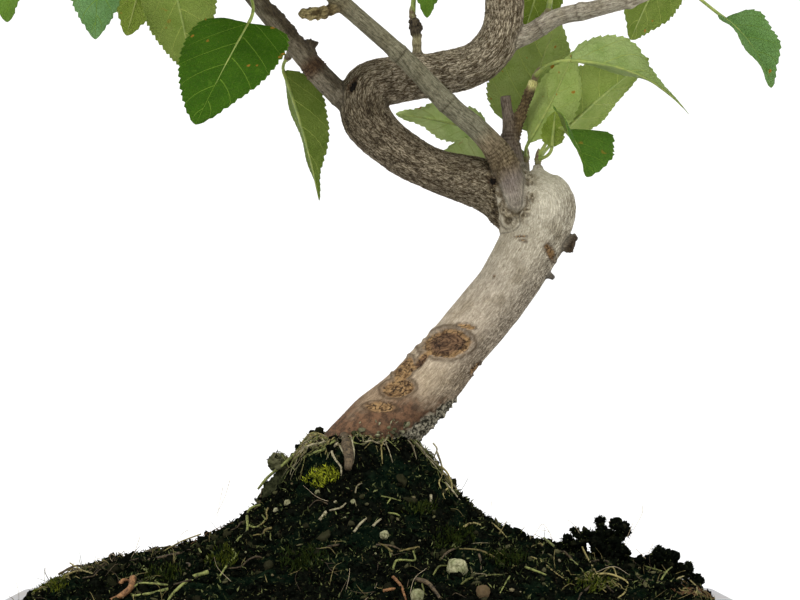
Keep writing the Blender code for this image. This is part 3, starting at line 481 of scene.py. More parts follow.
def smooth_run(points, steps):
    """Catmull-Rom curve through (x, y, z, radius) points, with a number of steps a span."""
    rows = [Vector(p) for p in points]
    rows = [2 * rows[0] - rows[1]] + rows + [2 * rows[-1] - rows[-2]]
    curve = []
    for a, b, c, d in zip(rows, rows[1:], rows[2:], rows[3:]):
        for step in range(steps):
            t = step / steps
            value = 2 * b + (c - a) * t + (2 * a - 5 * b + 4 * c - d) * t * t
            curve.append((value + (3 * b - a - 3 * c + d) * t ** 3) / 2)
    curve.append(rows[-2])
    return [(Vector(p[:3]), p[3]) for p in curve]


def framed(run):
    """Each step of a run with the way along it and a side that turns as little as it can."""
    places = [place for place, _ in run]
    along = (places[1] - places[0]).normalized()
    side = along.orthogonal().normalized()
    steps = []
    for i, (place, radius) in enumerate(run):
        before = places[max(i - 1, 0)]
        after = places[min(i + 1, len(places) - 1)]
        ahead = (after - before).normalized()
        side = along.rotation_difference(ahead) @ side
        along = ahead
        steps.append((place, radius, along, side))
    return steps


def tube(points, sides, steps=3, grow=0.0, round_end=False):
    run = smooth_run(points, steps)
    if round_end:
        tail = (run[-1][0] - run[-2][0]).normalized()
        end, radius = run[-1]
        run.append((end + tail * 0.45 * radius, radius * 0.78))
        run.append((end + tail * 0.7 * radius, radius * 0.35))
    rings = [ring_of(place, along, side, radius + grow, sides) for place, radius, along, side in framed(run)]
    return lofted(rings)


def around(direction, degrees):
    side = direction.orthogonal().normalized()
    return Quaternion(direction, math.radians(degrees)) @ side


def crown_spurs():
    """Where leafy spurs grow on the branches: name, run of wood and number of leaves."""
    draw = random.Random(SEED)
    spurs = []
    runs = dict(BRANCHES)
    runs["apex"] = LEADER_RUN[APEX_POINT:]
    for branch, points in runs.items():
        run = smooth_run(points, 4)
        lengths = [0.0]
        for (a, _), (b, _) in zip(run, run[1:]):
            lengths.append(lengths[-1] + (b - a).length)
        start = lengths[-1] * SPRAY_START
        last = lengths[-1] - TIP_CLEARANCE * SPRAY_SPACING
        turn = draw.uniform(0, 360)
        number = 0
        for i in range(1, len(run) - 1):
            if not start + SPRAY_SPACING * number <= lengths[i] <= last:
                continue
            place, radius = run[i]
            ahead = (run[i + 1][0] - place).normalized()
            number += 1
            turn += SPIRAL
            out = (SPUR_AHEAD * ahead + around(ahead, turn) + Vector((0, 0, SPUR_RISE))).normalized()
            end = place + out * (radius + draw.uniform(*SPUR_LENGTH))
            if out_of_crown([end]):
                continue
            wood = [(*place, SPUR_RADIUS), (*end, SPUR_RADIUS)]
            spurs.append((f"{branch}_{number}", wood, draw.choice(SPUR_LEAVES)))
        if branch in FULL_ENDS:
            continue
        spurs.append((f"{branch}_end", [(*run[-2][0], run[-2][1]), (*run[-1][0], run[-1][1])], END_LEAVES))
    return spurs


def stem_run(wood, length):
    """The green stem that goes on from a spur's end, a gap away."""
    end = Vector(wood[-1][:3])
    out = (end - Vector(wood[-2][:3])).normalized()
    radius = min(wood[-1][3], STEM_RADIUS)
    first = end + out * GAP
    last = end + out * (GAP + length)
    return [(*first, radius), (*last, 0.9 * radius)]


class Leaf:
    """A blade with its petiole: base and tip of the midrib, width, upper face, fold, arch and skew."""

    def __init__(self, bud, base, tip, width, face, fold, arch, skew=0):
        self.bud = Vector(bud)
        self.base = Vector(base)
        self.chord = Vector(tip) - self.base
        self.length = self.chord.length
        self.axis = self.chord.normalized()
        face = Vector(face)
        self.face = (face - self.axis * face.dot(self.axis)).normalized()
        self.side = self.axis.cross(self.face)
        self.width = width
        self.fold = math.radians(fold)
        self.arch = arch
        self.skew = skew

    def half_width(self, s):
        shape = math.sin(math.pi * s ** OVATE) ** BLUNT if 0 < s < 1 else 0
        return max(self.width / 2 * shape, PETIOLE_WIDTH if s < 0.5 else 0)

    def midrib(self, s):
        return self.base + self.chord * s + self.face * (self.arch * self.length * 4 * s * (1 - s))

    def normal(self, s):
        slope = 4 * self.arch * (1 - 2 * s)
        return (self.face - self.axis * slope).normalized()

    def point(self, s, v, level):
        """Point at s along the midrib and v of the half width, level times half the thickness up."""
        out = v * self.half_width(s)
        normal = self.normal(s)
        lean = math.copysign(1, v) if v else 0
        place = self.midrib(s) + self.side * (out * math.cos(self.fold)) + self.axis * (out * self.skew)
        place += normal * (abs(out) * math.sin(self.fold) - CURL * out ** 2 / self.width)
        if lean:
            skin = normal * math.cos(self.fold) - self.side * (lean * math.sin(self.fold))
        else:
            skin = normal / math.cos(self.fold)
        return place + skin * level

    def solid(self, teeth, thickness, petiole_from=0.0):
        """The plain solid that the frame holds for this leaf."""
        half = thickness / 2
        edge = []
        for k in range(teeth):
            for part, out in ((TOOTH_NOTCH, 1 - TOOTH_DEPTH), (TOOTH_POINT, 1)):
                edge.append((TOOTHLESS + (1 - 2 * TOOTHLESS) * (k + part) / teeth, out))
        ribs = [(i + 1) / (teeth + 1) for i in range(teeth)]
        outline = [(0, -1)] + [(s, -v) for s, v in edge] + [(1, 0)]
        outline += [(s, v) for s, v in reversed(edge)] + [(0, 1)]
        layout = outline + [(s, 0) for s in ribs]
        count = len(layout)
        rim = len(outline)
        points = [self.point(s, v, half) for s, v in layout] + [self.point(s, v, -half) for s, v in layout]
        triangles = self.triangles(edge, ribs, rim)
        faces = [tuple(t) for t in triangles]
        faces += [tuple(i + count for i in reversed(t)) for t in triangles]
        for i in range(rim - 1):
            faces.append((i + 1, i, i + count))
            faces.append((i + 1, i + count, i + 1 + count))
        start = [points[0], points[rim - 1], points[rim - 1 + count], points[count]]
        ring_ids = [0, rim - 1, rim - 1 + count, count]
        self.add_petiole(points, faces, start, ring_ids, petiole_from)
        return points, faces

    def triangles(self, edge, ribs, rim):
        tip = len(edge) + 1
        left = list(range(0, tip + 1))
        right = [rim - 1 - i for i in range(0, tip + 1)]
        spread = [0] + [s for s, _ in edge] + [1]
        middle = [rim + i for i in range(len(ribs))]
        triangles = [(left[0], middle[0], right[0])]
        for side, flip in ((left, False), (right, True)):
            i = 0
            j = 0
            while i < tip - 1 or j < len(middle) - 1:
                next_edge = spread[i + 1] if i < tip - 1 else 2
                next_rib = ribs[j + 1] if j < len(middle) - 1 else 2
                if next_edge <= next_rib:
                    corner = (side[i], side[i + 1], middle[j])
                    i += 1
                else:
                    corner = (side[i], middle[j + 1], middle[j])
                    j += 1
                triangles.append(corner[::-1] if flip else corner)
            last = (side[tip - 1], side[tip], middle[-1])
            triangles.append(last[::-1] if flip else last)
        return triangles

    def petiole_point(self, t):
        """Place and way of the petiole, from the bud at 0 to the blade's base at 1."""
        ahead = (self.midrib(0.02) - self.base).normalized()
        bend = self.base - ahead * (PETIOLE_BEND * (self.base - self.bud).length)
        place = self.bud * (1 - t) ** 2 + bend * (2 * t * (1 - t)) + self.base * t ** 2
        way = ((bend - self.bud) * (1 - t) + (self.base - bend) * t).normalized()
        return place, way

    def add_petiole(self, points, faces, start, ring_ids, petiole_from):
        steps = [t for t in (0.5, 0) if t > petiole_from] + [petiole_from]
        along = (self.midrib(0.02) - self.midrib(0)).normalized()
        side = (start[1] - start[0]).normalized()
        upper = along.cross(side)
        upper = -upper if upper.dot(start[0] - start[3]) < 0 else upper
        ring = ring_ids
        for t in sorted(set(steps), reverse=True):
            place, way = self.petiole_point(t)
            turn = along.rotation_difference(way)
            side = turn @ side
            upper = turn @ upper
            along = way
            first = len(points)
            for u, w in ((-1, 1), (1, 1), (1, -1), (-1, -1)):
                points.append(place + side * (u * PETIOLE_WIDTH) + upper * (w * 0.9 * PETIOLE_WIDTH))
            new = [first, first + 1, first + 2, first + 3]
            for i in range(4):
                j = (i + 1) % 4
                faces.append((ring[i], ring[j], new[j], new[i]))
            ring = new
        faces.append(tuple(ring))


def tree_of(points, faces):
    return BVHTree.FromPolygons([Vector(p) for p in points], [tuple(f) for f in faces])


def out_of_crown(points):
    for x, y, z in points:
        if BARE_LEFT < x < BARE_RIGHT and z < BARE_TOP + BARE_SLOPE * y:
            return True
        if abs(x) > CROWN_REACH[0] or abs(y) > CROWN_REACH[1]:
            return True
    return False


def grow_leaf(draw, stem, order, count, taken):
    """Tries places round a stem until the blade has room; gives None if it finds none."""
    first = Vector(stem[0][:3])
    last = Vector(stem[-1][:3])
    ahead = (last - first).normalized()
    share = BUD_PLACES[0] + (BUD_PLACES[1] - BUD_PLACES[0]) * order / max(count - 1, 1)
    bud = first.lerp(last, share)
    length = draw.uniform(*BLADE_LENGTH)
    shape = draw.uniform(*BLADE_SHAPE)
    for attempt in range(TRIES):
        turn = SPIRAL * (order + TRY_TURN * attempt) + draw.uniform(-20, 20)
        spread = draw.uniform(*LEAF_SPREAD)
        out = (ahead + spread * around(ahead, turn)).normalized()
        base = bud + out * draw.uniform(*PETIOLE_LENGTH)
        way = Vector((out.x, out.y, LEAF_FLATNESS * out.z - draw.uniform(*LEAF_DROOP))).normalized()
        size = length * (1 - TRY_SHRINK * attempt)
        tilt = Vector((draw.uniform(-LEAF_TILT, LEAF_TILT), draw.uniform(-LEAF_TILT, LEAF_TILT), 1))
        face = tilt + LEAF_FACING * out
        fold = draw.uniform(*LEAF_FOLD)
        leaf = Leaf(bud, base, base + way * size, size * shape, face, fold, draw.uniform(*LEAF_ARCH))
        points, faces = leaf.solid(2, CLEARANCE_THICKNESS, 0.3)
        if out_of_crown(points):
            continue
        room = tree_of(points, faces)
        if not any(room.overlap(other) for other in taken):
            taken.append(room)
            return leaf
    return None


def wood_runs():
    """Every run of wood with its number of sides and whether its end is round."""
    runs = [(FOOT_RUN, TRUNK_SIDES, True), (LEADER_RUN, LEADER_SIDES, False)]
    runs += [(points, BRANCH_SIDES, False) for points in BRANCHES.values()]
    runs += [(points, BRANCH_SIDES, False) for points in STUBS]
    runs += [(wood, SPUR_SIDES + 1, False) for wood, _, _ in LOW_SPRAYS.values()]
    runs += [(wood, SPUR_SIDES, False) for name, wood, _ in crown_spurs() if not name.endswith("_end")]
    return runs


def plan_leaves():
    """All leafy stems with their leaves: the low sprays as given, the crown's where there is room."""
    taken = []
    for points, sides, end in wood_runs():
        steps = 2 if points in (FOOT_RUN, LEADER_RUN) else 1
        taken.append(tree_of(*tube(points, sides, steps, GAP, end)))
    sprays = []
    for name, (wood, length, leaves) in LOW_SPRAYS.items():
        stem = stem_run(wood, length)
        bud = Vector(stem[0][:3]).lerp(Vector(stem[1][:3]), 0.6)
        grown = [Leaf(bud, *leaf) for leaf in leaves]
        sprays.append((name, stem, grown))
        taken += [tree_of(*leaf.solid(2, CLEARANCE_THICKNESS, 0.2)) for leaf in grown]
        taken.append(tree_of(*tube(stem, SPUR_SIDES, 1, GAP)))
    draw = random.Random(SEED + 1)
    crown = []
    for name, wood, count in crown_spurs():
        stem = stem_run(wood, draw.uniform(*STEM_LENGTH))
        crown.append((name, stem, count))
        taken.append(tree_of(*tube(stem, SPUR_SIDES, 1, GAP)))
    for name, stem, count in crown:
        grown = [grow_leaf(draw, stem, order, count, taken) for order in range(count)]
        grown = [leaf for leaf in grown if leaf]
        if grown:
            sprays.append((name, stem, grown))
    return sprays


def check_spray(name, stem, leaves):
    """Stops the script where a spray isn't where the frame holds it."""
    points = list(tube(stem, SPUR_SIDES, 1)[0])
    for leaf in leaves:
        points += leaf.solid(TEETH if name in LOW_SPRAYS else CROWN_TEETH, BLADE_THICKNESS)[0]
    points = np.array([tuple(p) for p in points])
    low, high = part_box(f"leaves_{name}")
    packed = np.array([tuple(low), tuple(high)]) / MM
    if np.abs(packed - [points.min(0), points.max(0)]).max() > FIT:
        raise ValueError(f"the leaves of {name} aren't where the packed solid is")


# Fine leaves
TOOTH_LENGTH = 1.95
CROWN_TOOTH_LENGTH = 2.2
NOTCH_DEPTH = 0.85
BROADER = (0.17, 0.22)  # what a blade of breadth 1 takes from the two exponents of its outline
FINE_COLUMNS = (0.05, 0.16, 0.32, 0.5, 0.68, 0.84, 0.95, 1)
CROWN_COLUMNS = (0.06, 0.22, 0.45, 0.7, 0.9, 1)
FINE_THICKNESS = 0.34
VEIN_PAIRS = 4.7
VEIN_LEAN = 0.42  # how much further along a side vein ends than it starts
VEIN_STAGGER = 0.35
QUILT = 0.42  # height of the blade between two side veins
RIPPLE = 0.75  # height of the waves along the margin
STALK_STEPS = 10
RIB_STEPS = 12
RIB_END = 0.93  # how far along the blade the raised midrib goes
STEM_STEPS = 18
SCALE_RINGS = 5  # rings of old bud scales that would fit on a stem
BUD_END = ((0.5, 0.9), (1.2, 0.72), (2.0, 0.4), (2.5, 0.1))  # mm past a stem's end, share of its radius
# Distance from the middle between two side veins, of 0.5, where a vein's colour starts and is full
VEIN_EDGE = 0.457
VEIN_TOP = 0.495
VEIN_THINNING = 0.025  # how much farther out it starts at the margin


def margin(teeth):
    """(s, notch) down one side: each tooth rises slowly to its point and drops quickly."""
    rows = [(0.004, 0.0)]
    for k in range(teeth):
        small = 0.55 if k % 2 else 1.0
        for phase, notch in ((0.0, 1.0), (0.8, 0.0)):
            rows.append((0.012 + 0.968 * (k + phase) / teeth, notch * small))
    rows.append((0.992, 0.0))
    rows.append((1.0, 0.0))
    return rows


def fine_blade(leaf, teeth, columns, tail, broad, phase):
    """Upper and lower points of a blade on one grid, with where each lies on it and among its veins."""
    rows = margin(teeth)
    s = np.array([row[0] for row in rows])[:, None]
    notch = np.array([row[1] for row in rows])[:, None]
    v = np.array([-c for c in reversed(columns)] + [0] + list(columns))[None, :]
    outline = np.sin(math.pi * s ** (OVATE - BROADER[0] * broad))
    outline = np.maximum(outline, 0) ** (BLUNT - BROADER[1] * broad * (1 - s))
    half = np.maximum(leaf.width / 2 * outline, np.where(s < 0.5, PETIOLE_WIDTH, 0.02))
    half = half * (1 - tail * smooth_step(s, 0.6 - 0.33 * tail, 0.95 - 0.22 * tail))
    depth = NOTCH_DEPTH * np.clip(half / 5, 0, 1) / np.maximum(half, 0.5)
    out = v * half * (1 - depth * notch * np.abs(v) ** 5)
    run = np.abs(v)
    vein = VEIN_PAIRS * (s - VEIN_LEAN * run ** 1.15 * (1.05 - 0.6 * s)) + np.where(v < 0, VEIN_STAGGER, 0)
    ridge = np.abs(np.sin(np.pi * vein)) ** 0.75
    fade = np.clip(half / (0.35 * leaf.width), 0, 1) * (1 - smooth_step(run, 0.75, 1))
    lift = QUILT * ridge * fade * smooth_step(run, 0, 0.12)
    lift = lift + RIPPLE * run ** 2 * np.sin(2 * np.pi * (2.3 * s + phase + 0.3 * np.sign(v)))
    lift = lift * np.clip(half / 3, 0, 1)
    soft = 0.04 * leaf.width
    rise = np.sqrt(out ** 2 + soft ** 2) - soft
    rise = rise * math.sin(leaf.fold) - CURL * out ** 2 / leaf.width + lift

    def vector(value):
        return np.array(value)[None, None, :]

    slope = 4 * leaf.arch * (1 - 2 * s)
    normal = vector(leaf.face) - vector(leaf.axis) * slope[..., None]
    normal = normal / np.linalg.norm(normal, axis=2, keepdims=True)
    bow = (leaf.arch * leaf.length * 4 * s * (1 - s))[..., None]
    centre = vector(leaf.base) + vector(leaf.chord) * s[..., None] + vector(leaf.face) * bow
    across = vector(leaf.side) * math.cos(leaf.fold) + vector(leaf.axis) * leaf.skew
    middle = centre + across * out[..., None] + normal * rise[..., None]
    skin = FINE_THICKNESS / 2 * np.clip(half / 2, 0.5, 1) * (1 - 0.35 * run ** 4)
    vein_line = 1 - smooth_step(1 - ridge, 0.45, 0.95)
    below = skin + 0.16 * (1 - vein_line) * fade
    upper = middle + normal * skin[..., None]
    lower = middle - normal * below[..., None]
    flat = np.stack(np.broadcast_arrays(out, s * leaf.length, 0 * out), axis=2)
    among = np.stack(np.broadcast_arrays(vein + 0 * out, run + 0 * out, s + 0 * out), axis=2)
    return upper, lower, flat, among


def grid_faces(rows, columns, first, flip):
    faces = []
    for r in range(rows - 1):
        for c in range(columns - 1):
            a = first + r * columns + c
            face = (a, a + 1, a + columns + 1, a + columns)
            faces.append(face[::-1] if flip else face)
    return faces


def add_blade(shape, leaf, teeth, columns, tone, tail, broad, phase):
    upper, lower, flat, among = fine_blade(leaf, teeth, columns, tail, broad, phase)
    rows, wide = upper.shape[:2]
    count = rows * wide
    points = np.concatenate([upper.reshape(-1, 3), lower.reshape(-1, 3)])
    flat = np.tile(flat.reshape(-1, 3), (2, 1)) + np.array([0, 0, 40 * phase])
    among = np.tile(among.reshape(-1, 3), (2, 1))
    rim = list(range(wide))
    rim += [r * wide + wide - 1 for r in range(1, rows)]
    rim += [(rows - 1) * wide + c for c in range(wide - 2, -1, -1)]
    rim += [r * wide for r in range(rows - 2, 0, -1)]
    edge = []
    for a, b in zip(rim, rim[1:] + rim[:1]):
        edge.append((b, a, a + count, b + count))
    top = grid_faces(rows, wide, 0, False)
    under = grid_faces(rows, wide, count, True)
    shape.add(points, top + under + edge, 0, leaf_place=flat, leaf_vein=among, leaf_tone=tone)
    kinds = [0] * len(top) + [1] * len(under) + [0] * len(edge)
    shape.slots[-len(kinds):] = kinds


def add_round(shape, run, sides, slot, tone):
    """A round tapered tube along (place, radius) steps, closed at both ends."""
    rings = [ring_of(place, along, side, radius, sides) for place, radius, along, side in framed(run)]
    points, faces = lofted(rings)
    share = np.repeat(np.linspace(0, 1, len(run)), sides)
    lengths = np.concatenate([[0], np.cumsum([(b[0] - a[0]).length for a, b in zip(run, run[1:])])])
    flat = np.stack([0 * share, np.repeat(lengths, sides), 0 * share], axis=1)
    shape.add(points, faces, slot, leaf_place=flat, leaf_vein=np.stack([share] * 3, axis=1), leaf_tone=tone)


def add_petiole_and_midrib(shape, leaf, tone):
    stalk = []
    for i in range(STALK_STEPS + 1):
        t = i / STALK_STEPS
        place, _ = leaf.petiole_point(t)
        radius = 0.95 - 0.4 * smooth_step(t, 0, 0.25) + 0.06 * smooth_step(t, 0.85, 1)
        stalk.append((place, float(radius)))
    add_round(shape, stalk, 8, 2, tone)
    rib = []
    for i in range(RIB_STEPS + 1):
        s = RIB_END * i / RIB_STEPS
        place = leaf.midrib(s) - leaf.normal(s) * (0.2 - 0.1 * s)
        rib.append((place, 0.52 * (1 - s) ** 0.8 + 0.1))
    add_round(shape, rib, 6, 2, tone)


def add_stem(shape, stem, tone):
    """The green stem: rings of old bud scales at its foot, a swelling at its leaves and a bud at its end."""
    first = Vector(stem[0][:3])
    last = Vector(stem[-1][:3])
    ahead = (last - first).normalized()
    length = (last - first).length
    radius = stem[0][3]
    run = []
    for i in range(STEM_STEPS + 1):
        t = i / STEM_STEPS
        ring = 0.1 * math.cos(2 * math.pi * SCALE_RINGS * t) * (1 - smooth_step(t, 0.4, 0.7))
        swell = 0.25 * math.exp(-((t - 0.6) / 0.2) ** 2)
        place = first - ahead * 0.6 + ahead * ((length + 0.6) * t)
        run.append((place, float(radius * (0.95 + ring + swell))))
    for past, width in BUD_END:
        run.append((last + ahead * past, radius * width))
    add_round(shape, run, 10, 3, tone)


def build_spray(name, stem, leaves, materials, draw):
    check_spray(name, stem, leaves)
    shape = Shape("leaf_place", "leaf_vein", "leaf_tone")
    low = name in LOW_SPRAYS
    given = LOW_TONES_AND_LIGHT.get(name, [])
    for order, leaf in enumerate(leaves):
        light = draw.uniform(0.1, 0.55)
        yellow = draw.uniform(-0.4, 0.6)
        tail = draw.uniform(0.05, 0.35)
        broad = draw.uniform(0, 0.5)
        phase = draw.uniform(0, 1)
        blemish = draw.choice((0, 0, 0.4, 1))
        # A low leaf's given lightness is partly painted light
        if order < len(given):
            light, yellow, tail, broad = given[order]
        tone = (light, yellow, blemish)
        teeth = round(leaf.length / (TOOTH_LENGTH if low else CROWN_TOOTH_LENGTH))
        add_blade(shape, leaf, teeth, FINE_COLUMNS if low else CROWN_COLUMNS, tone, tail, broad, phase)
        add_petiole_and_midrib(shape, leaf, tone)
    add_stem(shape, stem, (0.5, 0.5, 0))
    piece = shape.piece(f"spray_{name}", materials, "leaf")
    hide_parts(f"leaves_{name}")
    return piece


def vein_lines(shader, midrib):
    """Masks of the side veins, the midrib and the fine net between them."""
    vein = shader.attribute("leaf_vein")
    place = shader.attribute("leaf_place")
    phase = shader.part(vein, 0)
    away = shader.math("ABSOLUTE", shader.math("SUBTRACT", shader.math("FRACT", phase), 0.5))
    thin = shader.times(shader.part(vein, 1), VEIN_THINNING)
    start = shader.plus(thin, VEIN_EDGE)
    side = shader.between(away, start, VEIN_TOP)
    across = shader.math("ABSOLUTE", shader.part(place, 0))
    ahead = shader.part(vein, 2)
    wide = shader.times(shader.math("SUBTRACT", 1.3, ahead), midrib)
    middle = shader.between(across, wide, shader.times(wide, 0.4))
    net = shader.between(shader.cells(place, 0.75), 0.09, 0.0)
    fine = shader.between(shader.cells(place, 2.1), 0.1, 0.0)
    return place, side, middle, net, fine


def leaf_material(name, dark, light, yellow, blue, vein_colour, roughness, midrib, vein_height):
    shader = Shader(name, roughness, 0.12)
    place, side, middle, net, fine = vein_lines(shader, midrib)
    tone = shader.attribute("leaf_tone")
    colour = shader.mix(shader.part(tone, 0), dark, light)
    colour = shader.mix(shader.times(shader.part(tone, 1), 0.7), colour, yellow)
    colour = shader.mix(shader.times(shader.part(tone, 1), -0.7), colour, blue)
    clouds = shader.noise(place, 0.16, 4)
    colour = shader.multiply(shader.between(clouds, 0.35, 0.75), colour, (0.72, 0.8, 0.6))
    grain = shader.noise(place, 2.2, 2)
    colour = shader.multiply(shader.times(grain, 0.35), colour, (0.6, 0.68, 0.45))
    dots = shader.between(shader.noise(place, 2.6, 1), 0.6, 0.72)
    colour = shader.mix(shader.times(dots, 0.16), colour, vein_colour)
    colour = shader.mix(shader.times(fine, 0.08), colour, vein_colour)
    colour = shader.mix(shader.times(net, 0.12), colour, vein_colour)
    rim = shader.between(shader.part(shader.attribute("leaf_vein"), 1), 0.97, 1.0)
    colour = shader.mix(shader.times(rim, 0.45), colour, vein_colour)
    colour = shader.mix(shader.times(side, 0.7), colour, vein_colour)
    colour = shader.mix(shader.times(middle, 0.85), colour, vein_colour)
    spots = shader.between(shader.noise(place, 0.3, 1), 0.72, 0.76)
    spots = shader.times(spots, shader.part(tone, 2))
    colour = shader.mix(spots, colour, (0.34, 0.17, 0.02))
    shader.set(colour, "Base Color")
    veins = shader.plus(shader.times(side, 0.6), shader.times(middle, 0.6))
    veins = shader.plus(veins, shader.times(net, 0.45))
    veins = shader.plus(veins, shader.times(fine, 0.22))
    height = shader.times(veins, vein_height)
    height = shader.plus(height, shader.times(grain, 0.35))
    shader.bump(height, 0.35)
    rough = {"Value": clouds, "To Min": roughness - 0.1, "To Max": roughness + 0.14}
    shader.set(shader.add("MapRange", rough), "Roughness")
    return shader.material


def stalk_material(name, first, second):
    shader = Shader(name, 0.5, 0.35)
    place = shader.attribute("leaf_place")
    streak = shader.noise(shader.object_place(), 0.5, 4)
    colour = shader.mix(shader.between(streak, 0.35, 0.65), first, second)
    rings = shader.noise(place, 0.9, 2)
    colour = shader.multiply(shader.times(rings, 0.5), colour, (0.65, 0.6, 0.45))
    shader.set(colour, "Base Color")
    shader.bump(streak, 0.2)
    return shader.material


def build_leaves():
    materials = [
        leaf_material("leaf_upper", (0.036, 0.106, 0), (0.23, 0.38, 0.08), (0.2, 0.3, 0.01),
                      (0.14, 0.27, 0.13), (0.2, 0.34, 0.035), 0.52, 0.19, -1.0),
        # The under side's lightest colour is partly painted light, standing in for light coming through the
        # blade
        leaf_material("leaf_under", (0.1, 0.155, 0.018), (0.62, 0.74, 0.3), (0.27, 0.35, 0.035),
                      (0.3, 0.4, 0.19), (0.46, 0.54, 0.12), 0.62, 0.36, 1.0),
        stalk_material("petiole_green", (0.34, 0.4, 0.1), (0.22, 0.3, 0.07)),
        stalk_material("young_stem", (0.2, 0.2, 0.08), (0.11, 0.07, 0.035)),
    ]
    draw = random.Random(SEED + 2)
    for name, stem, leaves in plan_leaves():
        build_spray(name, stem, leaves, materials, draw)


# Wood
SKIN_VOXEL = 0.61
CROWN_VOXEL = 0.7
SKIN_SIDES = 28
SKIN_STEPS = 6  # rings of a skin's tube to each span of its run
SKIN_BLUR = 3
FULL_RELIEF = 7  # radius in mm from which wood has its relief at full height
BLEND = 0.7  # mm over which the bark of one run turns into the next one's
VISIBLE_LEADER = 14  # points of the leader in the lower skin
CROWN_LEADER = 12  # point of the leader where the crown's skin starts

# Holes and old wounds on the front: x, z, half length, half height, turn in degrees and depth
SCARS = [
    (-5.6, 250.4, 1.2, 2.4, -28, 1.1), (39.8, 218.6, 1.1, 1.5, 20, 1),
    (25.1, 165.9, 8.6, 5.1, 4, 0.9), (16.8, 160.3, 4.4, 1.3, 50, 0.5), (11.2, 157.6, 4.7, 3, 52, 0.7),
    (9.3, 151.4, 5.6, 3.1, 8, 0.8), (3.5, 145.3, 5.3, 1.7, -3, 0.5), (31.4, 171.3, 3, 0.9, -12, 0.4),
    (58.8, 195.4, 3.3, 1.3, -58, 0.7), (49, 200.5, 1.9, 0.35, 0, 0.3), (50, 198.9, 1.5, 0.3, -4, 0.3),
    (34.6, 157.6, 2.6, 1, 47, 0.7), (22.5, 175, 0.9, 0.4, 50, 0.3), (40.5, 187.5, 0.8, 0.35, 60, 0.3),
]
HOLES = 2  # the first are holes, painted nearly black inside as painted shade
DARK_SCARS = 4  # those up to here are dark brown, the others golden
KNOT = (45.2, 205.6, 2.7)  # x, z and radius of the healed knot under the fork
FORK = (40.6, 214)  # x and z of the crease between the knuckle and the arm
FORK_TOP = 231
CRUST_EDGE = ((23.5, 145.9), (5.8, 135))  # the dark crust lies below this line
CRUST_BEHIND = 139
RUST_TOP = 149
NUB = [(54, 0, 191, 1.2), (58.8, -1, 188.2, 1.15), (60.6, -1.2, 187.2, 0.9)]

# Bark of each run: length along it, then the darkest and lightest colour there
BARK = {
    "trunk": [
        # The trunk from about 62 to 78 mm along is lighter: partly painted light, making up for shade on its
        # right side
        (54, (0.22, 0.15, 0.09), (0.42, 0.31, 0.2)), (66, (0.383, 0.302, 0.197), (0.573, 0.468, 0.334)),
        (84, (0.394, 0.325, 0.232), (0.611, 0.516, 0.392)),
        (105, (0.336, 0.29, 0.215), (0.535, 0.468, 0.363)),
        (124, (0.406, 0.36, 0.261), (0.592, 0.535, 0.411)),
        (136, (0.487, 0.441, 0.331), (0.688, 0.64, 0.497)),
    ],
    "leader": [
        (16, (0.195, 0.159, 0.098), (0.432, 0.368, 0.248)), (48, (0.183, 0.146, 0.091), (0.405, 0.34, 0.23)),
        (66, (0.159, 0.128, 0.078), (0.35, 0.29, 0.193)), (90, (0.244, 0.201, 0.128), (0.534, 0.46, 0.327)),
        (110, (0.281, 0.232, 0.149), (0.589, 0.515, 0.368)),
        (170, (0.268, 0.213, 0.134), (0.534, 0.442, 0.304)),
    ],
    "front_branch": [
        (8, (0.14, 0.112, 0.092), (0.33, 0.275, 0.23)), (13, (0.1, 0.07, 0.036), (0.36, 0.28, 0.16)),
        (22, (0.11, 0.083, 0.046), (0.33, 0.265, 0.165)), (27, (0.1, 0.092, 0.056), (0.29, 0.275, 0.185)),
        (90, (0.1, 0.09, 0.052), (0.28, 0.255, 0.16)),
    ],
    "left_branch": [
        (8, (0.09, 0.078, 0.05), (0.27, 0.235, 0.165)), (20, (0.11, 0.095, 0.066), (0.34, 0.295, 0.21)),
        (23, (0.06, 0.034, 0.018), (0.21, 0.125, 0.065)), (25, (0.06, 0.034, 0.018), (0.21, 0.125, 0.065)),
        (28, (0.12, 0.1, 0.07), (0.34, 0.29, 0.2)),
        (60, (0.09, 0.075, 0.045), (0.22, 0.19, 0.12)),
    ],
    "right_branch": [
        (5, (0.21, 0.175, 0.13), (0.56, 0.51, 0.4)), (60, (0.24, 0.205, 0.15), (0.58, 0.53, 0.4)),
        (85, (0.19, 0.1, 0.05), (0.42, 0.25, 0.13)),
    ],
    "stub_0": [
        (10, (0.135, 0.105, 0.083), (0.3, 0.247, 0.203)), (22, (0.083, 0.06, 0.042), (0.225, 0.18, 0.135)),
    ],
    "stub_1": [(3, (0.03, 0.022, 0.012), (0.1, 0.075, 0.045))],
    "stub_2": [(2, (0.1, 0.07, 0.035), (0.24, 0.18, 0.1)), (8, (0.02, 0.013, 0.008), (0.09, 0.06, 0.03))],
    "stub_3": [(3, (0.1, 0.07, 0.03), (0.3, 0.23, 0.1)), (10, (0.12, 0.09, 0.035), (0.46, 0.38, 0.17))],
    "scarred_spur": [
        (6, (0.08, 0.053, 0.024), (0.272, 0.192, 0.088)), (19, (0.05, 0.035, 0.02), (0.22, 0.16, 0.07)),
        (20.5, (0.36, 0.33, 0.1), (0.8, 0.77, 0.32)),
    ],
    "leader_twig": [
        (3, (0.16, 0.13, 0.07), (0.36, 0.31, 0.2)), (11, (0.2, 0.17, 0.08), (0.46, 0.42, 0.24)),
        (12.5, (0.02, 0.015, 0.01), (0.09, 0.07, 0.04)),
    ],
    "nub": [(2, (0.16, 0.14, 0.11), (0.3, 0.27, 0.22)), (6, (0.07, 0.062, 0.055), (0.16, 0.14, 0.12))],
}
PLAIN_BARK = [(0, (0.13, 0.11, 0.07), (0.31, 0.27, 0.18)), (70, (0.11, 0.09, 0.045), (0.27, 0.235, 0.13))]
FOLD_TONES = np.array([(0.11, 0.08, 0.04), (0.46, 0.38, 0.23)])  # of the folds round the front branch
